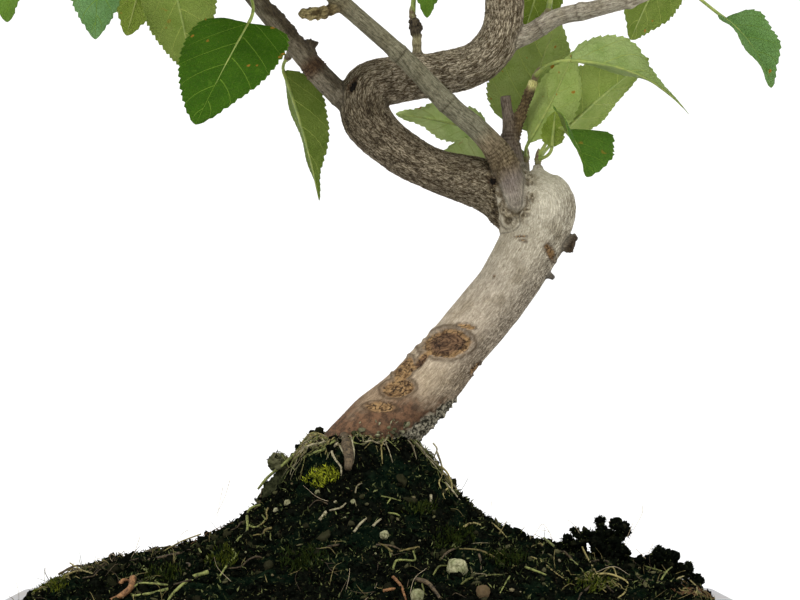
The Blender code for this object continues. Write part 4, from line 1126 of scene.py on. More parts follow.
# How far the long wrinkles of old bark show on each run
WRINKLES = {"trunk": 0.35, "leader": 1.2, "front_branch": 0.35, "left_branch": 0.45, "right_branch": 0.4}
PLAIN_WRINKLES = 0.4
RINGS = {  # bands of close rings on a run: where along it they start and end
    "front_branch": [(11, 19.5)], "scarred_spur": [(2, 19)], "left_branch": [(21.5, 25.5)],
    "stub_0": [(16, 22)], "leader_twig": [(0, 2.5)],
}
LUMPS = {"stub_3": 4, "leader_twig": 11.5}  # runs that are lumpy with bud scales from a length on
RING_SPACING = 1.15
NODES = {  # where along a run the old leaf scars stand
    "front_branch": [40.5, 63, 88, 112], "left_branch": [11, 38, 58, 82], "right_branch": [13, 27, 43, 62],
}
NODE_SPACING = 19
RIPPED_AND_SHADED_BARK = ("left_branch", 24, 58)  # the run and the stretch whose upper side is ripped and darker: partly ripped bark, partly painted shade
PAINTED_SHADE_SIDE = 0.8  # how dark the painted shade on the upper side of this branch is, from its foot on
# Runs that are slimmer here than in the solids, and how much
SLIMMER = {"scarred_spur": 0.76, "leader_twig": 0.85, "stub_3": 0.88}


class Skeleton:
    """Centre lines of named runs of wood, to read where a point of their skin lies."""

    STEPS = 8  # to each span of a run
    REACH = 5  # mm from a run's surface to which points are read
    SHARE = 4000  # points read at a time
    OUT_OF_REACH = 99.0

    def __init__(self, runs):
        self.lines = {}
        for name, points in runs.items():
            rows = []
            distance = 0.0
            before = None
            for place, radius, along, side in framed(smooth_run(points, self.STEPS)):
                if before is not None:
                    distance += (place - before).length
                before = place
                rows.append((*place, radius, distance, *along, *side, *along.cross(side)))
            self.lines[name] = np.array(rows)

    def read(self, points):
        """Where each point lies on the run nearest to it, and how far it is from each run's surface."""
        spot = Spot(len(points))
        for name, rows in self.lines.items():
            far = rows[:, 3].max() + self.REACH
            low = rows[:, :3].min(0) - far
            high = rows[:, :3].max(0) + far
            here = np.flatnonzero(np.all((points > low) & (points < high), axis=1))
            away = np.full(len(points), self.OUT_OF_REACH)
            along = np.zeros(len(points))
            for some in np.array_split(here, len(here) // self.SHARE + 1):
                off = points[some, None] - rows[None, :, :3]
                gap = np.linalg.norm(off, axis=2) - rows[:, 3]
                step = gap.argmin(1)
                off = off[np.arange(len(some)), step]
                row = rows[step]
                ahead = row[:, 4] + (off * row[:, 5:8]).sum(1)
                side = (off * row[:, 8:11]).sum(1)
                across = (off * row[:, 11:14]).sum(1)
                straight = np.stack([ahead, side, across], axis=1)
                away[some] = gap.min(1)
                along[some] = ahead
                spot.nearer(some, away[some], straight, row[:, 3])
            spot.away[name] = away
            spot.along[name] = along
        return spot


class Spot:
    """Where the points of a skin lie on the runs of wood under it."""

    NOTHING_NEAR = 98.0

    def __init__(self, count):
        self.best = np.full(count, self.NOTHING_NEAR)
        self.straight = np.zeros((count, 3))
        self.radius = np.ones(count)
        self.away = {}
        self.along = {}

    def nearer(self, some, away, straight, radius):
        won = away < self.best[some]
        some = some[won]
        self.best[some] = away[won]
        self.straight[some] = straight[won]
        self.radius[some] = radius[won]

    def weights(self):
        """How far each point belongs to each run, adding up to 1."""
        weights = {}
        for name, away in self.away.items():
            weights[name] = np.exp(-np.clip((away - self.best) / BLEND, 0, 50))
        total = sum(weights.values())
        return {name: weight / total for name, weight in weights.items()}


def skin_over(name, runs, voxel, material):
    """One closed skin over overlapping round runs."""
    shape = Shape()
    for points, round_end in runs:
        shape.add(*tube(points, SKIN_SIDES, SKIN_STEPS, 0, round_end))
    item = shape.piece(name, [material], "bark")
    remesh = item.modifiers.new("skin", "REMESH")
    remesh.mode = "VOXEL"
    remesh.voxel_size = voxel * MM
    smooth = item.modifiers.new("smooth", "SMOOTH")
    smooth.factor = 0.5
    smooth.iterations = SKIN_BLUR
    graph = bpy.context.evaluated_depsgraph_get()
    skin = bpy.data.meshes.new_from_object(item.evaluated_get(graph))
    item.modifiers.clear()
    item.data = skin
    skin.shade_smooth()
    return item


def mesh_points(mesh):
    points = np.zeros(len(mesh.vertices) * 3, np.float32)
    mesh.vertices.foreach_get("co", points)
    return points.reshape(-1, 3).astype(float) / MM


def mesh_normals(mesh):
    normals = np.zeros(len(mesh.vertices) * 3, np.float32)
    mesh.vertices.foreach_get("normal", normals)
    return normals.reshape(-1, 3).astype(float)


def raise_skin(item, heights):
    mesh = item.data
    points = mesh_points(mesh) + mesh_normals(mesh) * np.asarray(heights)[:, None]
    mesh.vertices.foreach_set("co", (points * MM).astype(np.float32).ravel())
    mesh.update()


def bark_tones(name, along):
    stops = BARK.get(name, PLAIN_BARK)
    places = [stop[0] for stop in stops]
    tones = []
    for kind in (1, 2):
        channels = [np.interp(along, places, [stop[kind][c] for stop in stops]) for c in range(3)]
        tones.append(np.stack(channels, axis=1))
    return tones


def hump(value, width):
    return np.exp(-(value / width) ** 2)


class Relief:
    """Height and masks of a skin of wood, built up layer by layer."""

    def __init__(self, item, runs):
        self.item = item
        self.points = mesh_points(item.data)
        self.normals = mesh_normals(item.data)
        self.spot = Skeleton(runs).read(self.points)
        self.share = self.spot.weights()
        self.straight = self.spot.straight
        self.height = np.zeros(len(self.points))
        self.furrow = np.zeros(len(self.points))
        kinds = ("wound", "golden", "rim", "rust", "crust")
        self.masks = {kind: np.zeros(len(self.points)) for kind in kinds}
        self.size = np.clip(self.spot.radius / FULL_RELIEF, 0.25, 1)

    def darken(self, amount):
        # Darker bark colour: the bark's own darker marks, and painted shade in its valleys and creases
        self.furrow = np.maximum(self.furrow, amount)

    def share_knuckle(self):
        """Gives the arm's foot, right of the crease, to the trunk."""
        x, _, z = self.points.T
        self.crease = x - FORK[0] - 0.16 * np.abs(z - FORK[1]) + 0.7 * waves(self.points, 4, 1)
        pale = smooth_step(self.crease, -0.5, 0.5) * (z < FORK_TOP)
        moved = self.share["leader"] * pale
        self.share["trunk"] = self.share["trunk"] + moved
        self.share["leader"] = self.share["leader"] - moved

    def wrinkle(self):
        amount = np.zeros(len(self.points))
        for name, share in self.share.items():
            amount += share * WRINKLES.get(name, PLAIN_WRINKLES)
        across = self.straight + 0.9 * np.stack(
            [0 * amount, waves(self.straight, 6, 1), waves(self.straight + 40, 6, 1)], axis=1)
        valley = 1 - smooth_step(np.abs(waves(across, (5, 1.25, 1.25), 2)), 0, 0.24)
        self.height += 0.45 * self.size * waves(self.points, 13, 2)
        self.height += amount * self.size * (0.1 * waves(self.points, 1.4, 2) - 0.3 * valley)
        # Darker in the wrinkles' valleys: partly the bark's own colour, partly painted shade
        self.darken(0.75 * amount * valley)
        return amount

    def rings(self):
        ripple = self.straight[:, 0] + 0.4 * waves(self.points, 2.2, 1)
        ripple = np.sin(2 * math.pi * ripple / RING_SPACING)
        uneven = waves(self.points, 3, 1)
        for name, start in LUMPS.items():
            lumpy = self.share[name] * smooth_step(self.spot.along[name], start - 1, start + 1)
            self.height += lumpy * (0.25 + 1.5 * waves(self.points, 2.3, 2))
            self.darken(lumpy * smooth_step(-waves(self.points, 2.3, 2), 0.02, 0.2))
        for name, bands in RINGS.items():
            for start, end in bands:
                along = self.spot.along[name]
                band = smooth_step(along, start - 0.5, start + 0.5)
                band = band * (1 - smooth_step(along, end - 0.5, end + 0.5)) * self.share[name]
                self.height += band * (0.3 * ripple + 0.22) * (0.8 + 0.6 * uneven)
                self.darken(0.85 * band * smooth_step(-ripple, 0, 0.6))

    def nodes(self):
        """Swellings with a narrow ridge and an old leaf scar on one side."""
        for number, name in enumerate(self.spot.along):
            if name in ("trunk", "leader", "nub") or name.startswith("stub"):
                continue
            along = self.spot.along[name]
            places = NODES.get(name, np.arange(0.5 * NODE_SPACING, along.max() - 2, NODE_SPACING))
            for order, place in enumerate(places):
                turn = math.radians(SPIRAL * (order + number))
                side = self.straight[:, 1] * math.cos(turn) + self.straight[:, 2] * math.sin(turn)
                side = smooth_step(side / self.spot.radius, 0.1, 1)
                near = along - place + 0.5 * side
                share = self.share[name] * self.size * 2
                swell = 0.16 * hump(near, 2.6) + 0.2 * hump(near, 0.45)
                self.height += share * (swell + 0.7 * side * hump(near - 1, 1.3))
                self.darken(self.share[name] * 0.8 * hump(near + 0.9, 0.35))

    def scars(self):
        x, _, z = self.points.T
        front = smooth_step(-self.normals[:, 1], -0.25, 0.1)
        ragged = 0.1 * waves(self.points, 2.4, 2)
        inner = waves(self.straight, (2.6, 1.2, 1.2), 3)
        wound = self.masks["wound"]
        rim = self.masks["rim"]
        self.masks["swirl"] = np.full(len(x), 9.0)
        for order, (scar_x, scar_z, long, high, turn, sink) in enumerate(SCARS):
            angle = math.radians(turn)
            u = ((x - scar_x) * math.cos(angle) + (z - scar_z) * math.sin(angle)) / long
            w = (-(x - scar_x) * math.sin(angle) + (z - scar_z) * math.cos(angle)) / high
            away = np.hypot(u, w) + ragged
            inside = (1 - smooth_step(away, 0.88, 1.02)) * front
            self.height -= sink * inside * (1 - wound) * (0.75 + 0.25 * np.clip(away, 0, 1))
            self.masks["swirl"] = np.minimum(self.masks["swirl"], away * high)
            wound = np.maximum(wound, inside)
            gold = smooth_step(away, 0.6, 0.85) if order < DARK_SCARS else 1
            gold = -1 if order < HOLES else gold
            self.masks["golden"] = self.masks["golden"] + gold * inside
            rim = np.maximum(rim, hump(away - 1.1, 0.11) * front)
        rim = rim * (1 - wound)
        self.height += 0.35 * rim + 0.55 * inner * wound * smooth_step(wound, 0.5, 1)
        self.masks["wound"] = wound
        self.masks["rim"] = rim

    def knot(self):
        x, _, z = self.points.T
        front = smooth_step(-self.normals[:, 1], 0, 0.3)
        away = np.hypot(x - KNOT[0], z - KNOT[1]) / KNOT[2] + 0.12 * waves(self.points, 2, 1)
        rings = np.cos(9.5 * away)
        inside = front * hump(away, 1.25)
        self.height += inside * (0.45 + 0.3 * rings) - 0.8 * front * hump(away, 0.28)
        self.darken(inside * smooth_step(-rings, 0.1, 0.8))
        self.darken(front * hump(away, 0.25))

    def collar(self):
        """Folds of bark round the foot of the front branch and along the crease of the arm, with painted
        shade in creases.
        """
        _, y, z = self.points.T
        low = 1 - smooth_step(z, FORK_TOP - 6, FORK_TOP)
        branch = np.clip(self.spot.away["front_branch"], 0, 20)
        round_branch = hump(branch - 1.4, 1.7) * smooth_step(branch, 0.1, 0.6) * low
        low = low * smooth_step(z, FORK[1] - 13, FORK[1] - 8)
        along_arm = hump(self.crease + 0.6, 1.9) * low * smooth_step(-y, -6, 1)
        far = np.where(round_branch > along_arm, branch, np.abs(self.crease))
        folds = np.sin(2 * math.pi * (far / 1.1 + 0.9 * waves(self.points, 2.6, 2)))
        amount = np.maximum(round_branch, along_arm) * smooth_step(waves(self.points + 9, 2.4, 2), -0.3, 0.15)
        self.height += amount * (0.55 * folds + 0.35 * waves(self.points, 1.3, 2) + 0.2)
        self.height -= 0.7 * hump(self.crease, 0.45) * low * (self.share["leader"] + self.share["trunk"])
        # Darker in the folds' valleys: partly the bark's own colour, partly painted shade
        self.darken(amount * smooth_step(-folds, -0.3, 0.5))
        # Painted shade in the groove where the front branch meets the trunk
        edge = hump(branch - 0.5, 0.45) * low * smooth_step(waves(self.points + 5, 3, 1), -0.4, 0)
        self.height -= 0.5 * edge
        self.darken(edge)
        # Painted shade in the crease between the knuckle and the arm
        self.darken(0.9 * hump(self.crease, 0.5) * low)
        return amount

    def foot(self):
        """The reddish foot of the trunk and the dark crust under it."""
        x, y, z = self.points.T
        (x1, z1), (x2, z2) = CRUST_EDGE
        run = math.hypot(x1 - x2, z1 - z2)
        below = ((x - x1) * (z1 - z2) - (z - z1) * (x1 - x2)) / run
        behind = smooth_step(y, -2, 8)
        below = np.maximum(below, CRUST_BEHIND - z - 40 * (1 - behind)) + 1.5 * waves(self.points, 4, 2)
        crust = smooth_step(below, -0.4, 0.9) * (z < RUST_TOP + 6)
        self.height += crust * (0.5 + 1.1 * waves(self.points, 1.6, 2))
        rust = z - 0.1 * x + 2.6 * waves(self.points, 6, 3)
        self.masks["crust"] = crust
        self.masks["rust"] = 1 - smooth_step(rust, RUST_TOP - 7, RUST_TOP)

    def ripped_bark_and_shade(self):
        name, start, end = RIPPED_AND_SHADED_BARK
        along = self.spot.along[name]
        up = self.normals[:, 0] + self.normals[:, 2] + 0.5 * waves(self.points, 4, 2)
        shade = smooth_step(up, -0.15, 0.4) * self.share[name]
        # Painted shade on the branch's side that faces up and right
        self.darken(PAINTED_SHADE_SIDE * shade)
        mask = smooth_step(along, start, start + 4) * (1 - smooth_step(along, end - 10, end)) * shade
        self.height += mask * (0.2 + 0.8 * waves(self.points, 2, 3))
        # The ripped stretch is darker still: partly ripped bark, partly painted shade
        self.darken(0.95 * mask)
        stub = self.share["stub_1"] + self.share["stub_2"]
        self.height += stub * (1.3 * waves(self.points, 1.9, 3) - 0.3)

    def flank(self):
        """Close furrows down the trunk's right side."""
        side = smooth_step(self.normals[:, 0] - 0.6 * self.normals[:, 2], 0.1, 1) * self.share["trunk"]
        valley = 1 - smooth_step(np.abs(waves(self.straight, (8, 1.4, 1.4), 2)), 0, 0.2)
        self.height -= 0.3 * side * valley
        # Darker in the furrows' valleys: partly the bark's own colour, partly painted shade
        self.darken(0.6 * side * valley)
        return side

    def finish(self, wrinkles, folds=0):
        mesh = self.item.data
        dark = np.zeros((len(self.points), 3))
        light = np.zeros((len(self.points), 3))
        for name, share in self.share.items():
            low, high = bark_tones(name, self.spot.along[name])
            dark += share[:, None] * low
            light += share[:, None] * high
        fold = np.clip(np.asarray(folds) + np.zeros(len(self.points)), 0, 1)[:, None]
        dark = dark * (1 - 0.7 * fold) + 0.7 * fold * FOLD_TONES[0]
        light = light * (1 - 0.7 * fold) + 0.7 * fold * FOLD_TONES[1]
        give(mesh, "grain", self.straight)
        give(mesh, "dark", dark)
        give(mesh, "light", light)
        give(mesh, "wrinkles", wrinkles)
        give(mesh, "furrow", np.clip(self.furrow * (1 - self.masks["wound"]), 0, 1))
        for kind, mask in self.masks.items():
            give(mesh, kind, mask)
        raise_skin(self.item, self.height)
        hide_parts("tree")


def lower_runs():
    runs = {"trunk": FOOT_RUN, "leader": LEADER_RUN[:VISIBLE_LEADER], "nub": NUB}
    for name in ("front_branch", "left_branch", "right_branch"):
        runs[name] = BRANCHES[name]
    for number, stub in enumerate(STUBS):
        runs[f"stub_{number}"] = stub
    for name, (wood, _, _) in LOW_SPRAYS.items():
        if not name.endswith("_tip"):
            runs[name] = wood
    for name, share in SLIMMER.items():
        runs[name] = [(x, y, z, share * radius) for x, y, z, radius in runs[name]]
    return runs


def crown_runs():
    runs = {"leader": LEADER_RUN[CROWN_LEADER:]}
    for name, points in BRANCHES.items():
        if name not in ("front_branch", "left_branch", "right_branch"):
            runs[name] = points
    for name, (wood, _, _) in LOW_SPRAYS.items():
        if name.endswith("_tip"):
            runs[name] = wood
    for name, wood, _ in crown_spurs():
        if not name.endswith("_end"):
            runs[name] = wood
    return runs


def build_lower_wood(material):
    runs = lower_runs()
    tubes = [(points, name == "trunk") for name, points in runs.items()]
    item = skin_over("bark_lower", tubes, SKIN_VOXEL, material)
    relief = Relief(item, {**runs, "leader": LEADER_RUN})
    relief.share_knuckle()
    wrinkles = relief.wrinkle()
    relief.rings()
    relief.nodes()
    wrinkles = wrinkles + 0.6 * relief.flank()
    relief.ripped_bark_and_shade()
    relief.foot()
    folds = relief.collar()
    relief.knot()
    relief.scars()
    relief.finish(wrinkles, folds)


def build_crown_wood(material):
    runs = crown_runs()
    item = skin_over("bark_crown", [(points, False) for points in runs.values()], CROWN_VOXEL, material)
    relief = Relief(item, {**runs, "leader": LEADER_RUN})
    wrinkles = relief.wrinkle()
    relief.nodes()
    relief.finish(wrinkles)


def bark_material():
    shader = Shader("bark", 0.85, 0.22)
    grain = shader.attribute("grain")
    place = shader.object_place()
    streaks = shader.noise(shader.scaled(grain, (0.38, 2.3, 2.3)), 1.0, 4, 0.65)
    mottle = shader.noise(place, 0.8, 5, 0.7)
    streaks = shader.plus(shader.times(streaks, 0.6), shader.times(mottle, 0.4))
    colour = shader.mix(
        shader.between(streaks, 0.36, 0.62), shader.attribute("dark"), shader.attribute("light"))
    patches = shader.noise(place, 0.12, 3)
    colour = shader.multiply(shader.between(patches, 0.5, 0.72), colour, (0.74, 0.72, 0.67))
    wrinkles = shader.mask("wrinkles")
    long_lines = shader.lines(shader.scaled(grain, (0.22, 1.3, 1.3)), 0.05)
    fine_lines = shader.lines(shader.scaled(grain, (0.5, 2.2, 2.2)), 0.05)
    valleys = shader.times(shader.math("MAXIMUM", long_lines, fine_lines), wrinkles)
    colour = shader.multiply(shader.times(valleys, 0.85), colour, (0.25, 0.21, 0.16))
    flecks = shader.between(shader.noise(shader.scaled(grain, (0.8, 2.6, 2.6)), 1.0, 3), 0.56, 0.7)
    colour = shader.mix(shader.times(flecks, 0.35), colour, shader.attribute("light"))
    dashes = shader.between(shader.noise(shader.scaled(grain, (0.6, 2.8, 2.8)), 1.0, 2, 0.4), 0.64, 0.72)
    colour = shader.multiply(shader.times(dashes, 0.6), colour, (0.35, 0.3, 0.22))
    furrow = shader.mask("furrow")
    # Darker where the relief is low: partly the bark's own colour, partly painted shade
    colour = shader.multiply(shader.times(furrow, 0.9), colour, (0.2, 0.16, 0.11))
    rust = shader.mix(shader.between(shader.noise(place, 0.5, 6, 0.72), 0.38, 0.62),
                      (0.05, 0.026, 0.014), (0.18, 0.09, 0.045))
    colour = shader.mix(shader.times(shader.mask("rust"), 0.93), colour, rust)
    rim = shader.times(shader.mask("rim"), 0.85)
    colour = shader.mix(rim, colour, (0.07, 0.042, 0.02))
    cracks = shader.lines(shader.scaled(place, (0.3, 0.3, 0.42)), 0.042)
    turn = shader.add("CombineXYZ", {0: shader.times(shader.mask("swirl"), 0.9)})
    stretched = shader.scaled(place, (0.4, 0.4, 0.6))
    around_wound = shader.add("VectorMath", {0: turn, 1: stretched}, operation="ADD")
    flakes = shader.noise(around_wound, 1.0, 5, 0.7)
    flaky = shader.between(flakes, 0.36, 0.62)
    dark_wound = shader.mix(flaky, (0.035, 0.018, 0.01), (0.22, 0.125, 0.064))
    gold_wound = shader.mix(flaky, (0.11, 0.058, 0.024), (0.4, 0.25, 0.11))
    wound = shader.mix(shader.mask("golden"), dark_wound, gold_wound)
    # Painted shade: the holes are nearly black inside
    hole_shade = shader.times(shader.mask("golden"), -1.0)
    wound = shader.mix(hole_shade, wound, (0.008, 0.006, 0.004))
    wound = shader.mix(shader.times(cracks, 0.9), wound, (0.02, 0.011, 0.006))
    colour = shader.mix(shader.mask("wound"), colour, wound)
    moss = shader.mix(shader.between(shader.noise(place, 0.8, 4), 0.42, 0.62),
                      (0.035, 0.032, 0.02), (0.44, 0.4, 0.29))
    colour = shader.mix(shader.mask("crust"), colour, moss)
    shader.set(colour, "Base Color")
    bump = shader.noise(shader.scaled(grain, (0.9, 2.6, 2.6)), 1.0, 5, 0.6)
    bump = shader.math("SUBTRACT", bump, shader.times(valleys, 0.8))
    bump = shader.plus(bump, shader.times(flakes, shader.mask("wound")))
    shader.bump(bump, 0.35)
    return shader.material


def build_wood():
    material = bark_material()
    build_lower_wood(material)
    build_crown_wood(material)


# Pot's glaze and finer shape
CORNER_STEPS = 15
RIM_EDGE = 2
BELLY = 0.5  # how far the wall swells out between its foot and its lip
GLAZE = ((0.145, 0.158, 0.183), (0.235, 0.243, 0.267))
GLAZE_SPECKLE = (0.12, 0.135, 0.165)
GLAZE_PALE = (0.36, 0.355, 0.36)
WORN_RIM = (0.33, 0.28, 0.22)
BARE_CLAY = (0.2, 0.13, 0.085)


def pot_ring(inset, z, steps=CORNER_STEPS):
    radius = max(POT_CORNER - 0.5 * inset, 5)
    return rounded_rectangle(POT_LENGTH / 2 - inset, POT_DEPTH / 2 - inset, radius, z, steps)


def inner_inset(z):
    top = LIP_OVERHANG + WALL
    return top + WALL_LEAN * (POT_HEIGHT - z) / (POT_HEIGHT - FOOT_HEIGHT)


def quarter_turn(steps, first=1):
    return [math.radians(90 * i / steps) for i in range(first, steps + 1)]


def pot_profile():
    """(inset, height) from under the base, up the outside, over the lip and down the inside."""
    body = LIP_OVERHANG + WALL_LEAN
    lip_bottom = POT_HEIGHT - LIP_HEIGHT
    floor_top = FOOT_HEIGHT + FLOOR
    bottom = FOOT_HEIGHT + BOTTOM_EDGE
    profile = [(body + BOTTOM_EDGE, FOOT_HEIGHT)]
    for angle in quarter_turn(4):
        inset = body + BOTTOM_EDGE - BOTTOM_EDGE * math.sin(angle)
        profile.append((inset, bottom - BOTTOM_EDGE * math.cos(angle)))
    for i in range(1, 13):
        share = i / 12
        belly = BELLY * math.sin(math.pi * share)
        profile.append((body - WALL_LEAN * share - belly, bottom + (lip_bottom - bottom - 1) * share))
    for angle in quarter_turn(5):
        profile.append((LIP_OVERHANG * (1 - math.sin(angle)), lip_bottom + 1 - math.cos(angle)))
    for i in range(1, 4):
        profile.append((0, lip_bottom + 1 + i * (LIP_HEIGHT - RIM_EDGE - 1) / 3))
    shoulder = POT_HEIGHT - RIM_EDGE
    for angle in quarter_turn(6):
        profile.append((RIM_EDGE - RIM_EDGE * math.cos(angle), shoulder + RIM_EDGE * math.sin(angle)))
    inner = inner_inset(POT_HEIGHT) - RIM_EDGE
    for angle in quarter_turn(6, 0):
        profile.append((inner + RIM_EDGE * math.sin(angle), shoulder + RIM_EDGE * math.cos(angle)))
    profile.append((inner_inset(floor_top + 3), floor_top + 3))
    profile.append((inner_inset(floor_top) + 3, floor_top))
    return profile


def foot_solid(x, y):
    rings = []
    for share in (0, 0.12, 0.4, 0.75, 1.1):
        grown = 1 - (1 - share) ** 2
        length = FOOT_SIZE[0] - 2 * FOOT_LEAN * (1 - min(grown, 1))
        depth = FOOT_SIZE[1] - 2 * FOOT_LEAN * (1 - min(grown, 1))
        inset = 0.7 if share == 0 else 0
        ring = rounded_rectangle(length / 2 - inset, depth / 2 - inset, 4, FOOT_HEIGHT * share, 6)
        rings.append([(x + px, y + py, pz) for px, py, pz in ring])
    return lofted(rings)


def join_solids(item, others, operation):
    group = bpy.data.collections.new(item.name + "_others")
    bpy.context.scene.collection.children.link(group)
    for other in others:
        bpy.context.scene.collection.objects.unlink(other)
        group.objects.link(other)
    modifier = item.modifiers.new(operation, "BOOLEAN")
    modifier.operation = operation
    modifier.operand_type = "COLLECTION"
    modifier.collection = group
    graph = bpy.context.evaluated_depsgraph_get()
    joined = bpy.data.meshes.new_from_object(item.evaluated_get(graph))
    item.modifiers.clear()
    item.data = joined
    for other in others:
        bpy.data.objects.remove(other, do_unlink=True)
    bpy.data.collections.remove(group)


def build_pot():
    shader = Shader("mottled_glaze", 0.28, 0.5)
    place = shader.object_place()
    clouds = shader.noise(place, 0.045, 5, 0.6, 0.6)
    colour = shader.mix(shader.between(clouds, 0.36, 0.66), *GLAZE)
    speckle = shader.between(shader.noise(place, 0.75, 2), 0.62, 0.72)
    colour = shader.mix(shader.times(speckle, 0.5), colour, GLAZE_SPECKLE)
    pale = shader.between(shader.noise(place, 1.6, 2), 0.64, 0.75)
    colour = shader.mix(shader.times(pale, 0.45), colour, GLAZE_PALE)
    height = shader.part(place, 2)
    wear = shader.between(shader.plus(height, shader.times(clouds, 4)), 81.5, 82.8)
    colour = shader.mix(shader.times(wear, 0.5), colour, WORN_RIM)
    base = shader.between(shader.plus(height, shader.times(clouds, 3)), 4.4, 2.6)
    colour = shader.mix(base, colour, BARE_CLAY)
    shader.set(colour, "Base Color")
    rough = shader.plus(shader.times(base, 0.5), shader.times(clouds, 0.3))
    shader.set(shader.plus(rough, 0.13), "Roughness")
    ripple = shader.times(shader.noise(place, 0.5, 3), 0.12)
    shader.bump(shader.plus(clouds, ripple), 0.8, 0.6)
    points, faces = lofted([pot_ring(inset, z) for inset, z in pot_profile()])
    pot = mesh_piece("glazed_pot", points, faces, [shader.material], "glaze")
    body = LIP_OVERHANG + WALL_LEAN
    reach_x = POT_LENGTH / 2 - body - BOTTOM_EDGE - FOOT_SIZE[0] / 2
    reach_y = POT_DEPTH / 2 - body - BOTTOM_EDGE - FOOT_SIZE[1] / 2
    feet = []
    for x in (-reach_x, reach_x):
        for y in (-reach_y, reach_y):
            feet.append(mesh_piece("foot", *foot_solid(x, y), []))
    join_solids(pot, feet, "UNION")
    drains = []
    for x in (-DRAIN_SPACING / 2, DRAIN_SPACING / 2):
        rings = [ring_of((x, 0, z), Vector((0, 0, 1)), Vector((1, 0, 0)), DRAIN_DIAMETER / 2, 40)
                 for z in (FOOT_HEIGHT - 3, FOOT_HEIGHT + FLOOR + 3)]
        drains.append(mesh_piece("drain", *lofted(rings), []))
    join_solids(pot, drains, "DIFFERENCE")
    pot.data.shade_smooth()
    pot.data.set_sharp_from_angle(angle=math.radians(40))
    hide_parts("pot")
    return pot


def dress_screens(frame):
    shader = Shader("black_plastic", 0.5, 0.3)
    place = shader.object_place()
    grime = shader.noise(place, 0.6, 4)
    colour = shader.mix(shader.between(grime, 0.45, 0.7), (0.015, 0.015, 0.015), (0.045, 0.038, 0.028))
    shader.set(colour, "Base Color")
    shader.bump(grime, 0.15)
    for side in ("left", "right"):
        node = frame["nodes"][f"drain_screen_{side}"]
        node.data.materials.clear()
        node.data.materials.append(shader.material)


# Soil and what lies on it
CRUMB_COUNT = 3000
LARGE_CRUMB_COUNT = 420
MOSS_COUNT = 12500
FLECK_COUNT = 1700
STRAND_COUNT = 130
FIBRE_COUNT = 420
FAN_COUNT = 210
SEED_COUNT = 40
HAIR_COUNT = 26
COLLAR_COUNT = 950
COLLAR_HEIGHT = 131
LUMP_CRUMBS = 12  # crumbs on each lump of a clump
LUMP_BLADES = 60
KNOB_CRUMBS = 26
BACK_TUFTS = 12
BACK_TUFT_BLADES = 70
TRUNK_CLEARANCE = 9  # nothing is scattered nearer the trunk's middle
ABOUT_A_TURN = 6.28
SHOULDER = (3.4, 18, 6.5)  # height, distance from the neck's middle and width of the ring of soil round it
HOLLOW = (2.9, 70, 17)  # depth, distance from the middle and width of the dips at the mound's left and right
CLUMP_SHARE = 0.03  # of the clumps' height that the mound itself has; loose lumps make the rest
SOIL_REACH = (113, 83)
SOIL_EDGE = (116, 86)  # the mound's crumbs die down towards it

# Lumps of the two crumbly clumps on the right: pixel of the centre, depth and radius in mm
CLUMP_LUMPS = [
    (567, 541, -6, 2.3), (575, 531, -4, 1.3), (579, 536, -5, 1.8), (588, 536, -4, 2.4), (600, 521, -4, 1.7),
    (601, 528, -5, 1.7), (605, 538, -6, 2.9), (616, 525, -4, 2), (624, 530, -5, 2.3), (616, 538, -6, 2.6),
    (577, 545, -6, 2.5), (601, 547, -8, 3), (616, 547, -7, 2.7), (624, 554, -6, 2.1), (611, 557, -7, 3.2),
    (592, 560, -3, 1.7), (580, 556, -4, 2.6), (562, 551, -4, 2.6), (640, 563, -4, 2.2), (648, 562, -3, 2),
    (658, 552, -4, 2), (666, 560, -5, 3.4), (656, 562, -3, 2.6), (675, 569, -4, 2.4), (685, 572, -5, 2.5),
    (688, 566, -3, 1.3), (696, 582, -5, 2.4), (593, 545, -2, 1.2), (599, 535, -3, 1.6),
]
# The old root that leaves the neck on the left, and the knob on it: pixel, depth and radius in mm
OLD_ROOT = [
    (336, 452, -3, 4.6), (318, 461, -5, 4.6), (297, 473, -6, 4.5), (277, 488, -6, 3.6), (259, 505, -6, 2.2),
]
KNOB = (278, 462, -7, 2.8)
STRAND_SIZE = 0.82  # of the radii listed

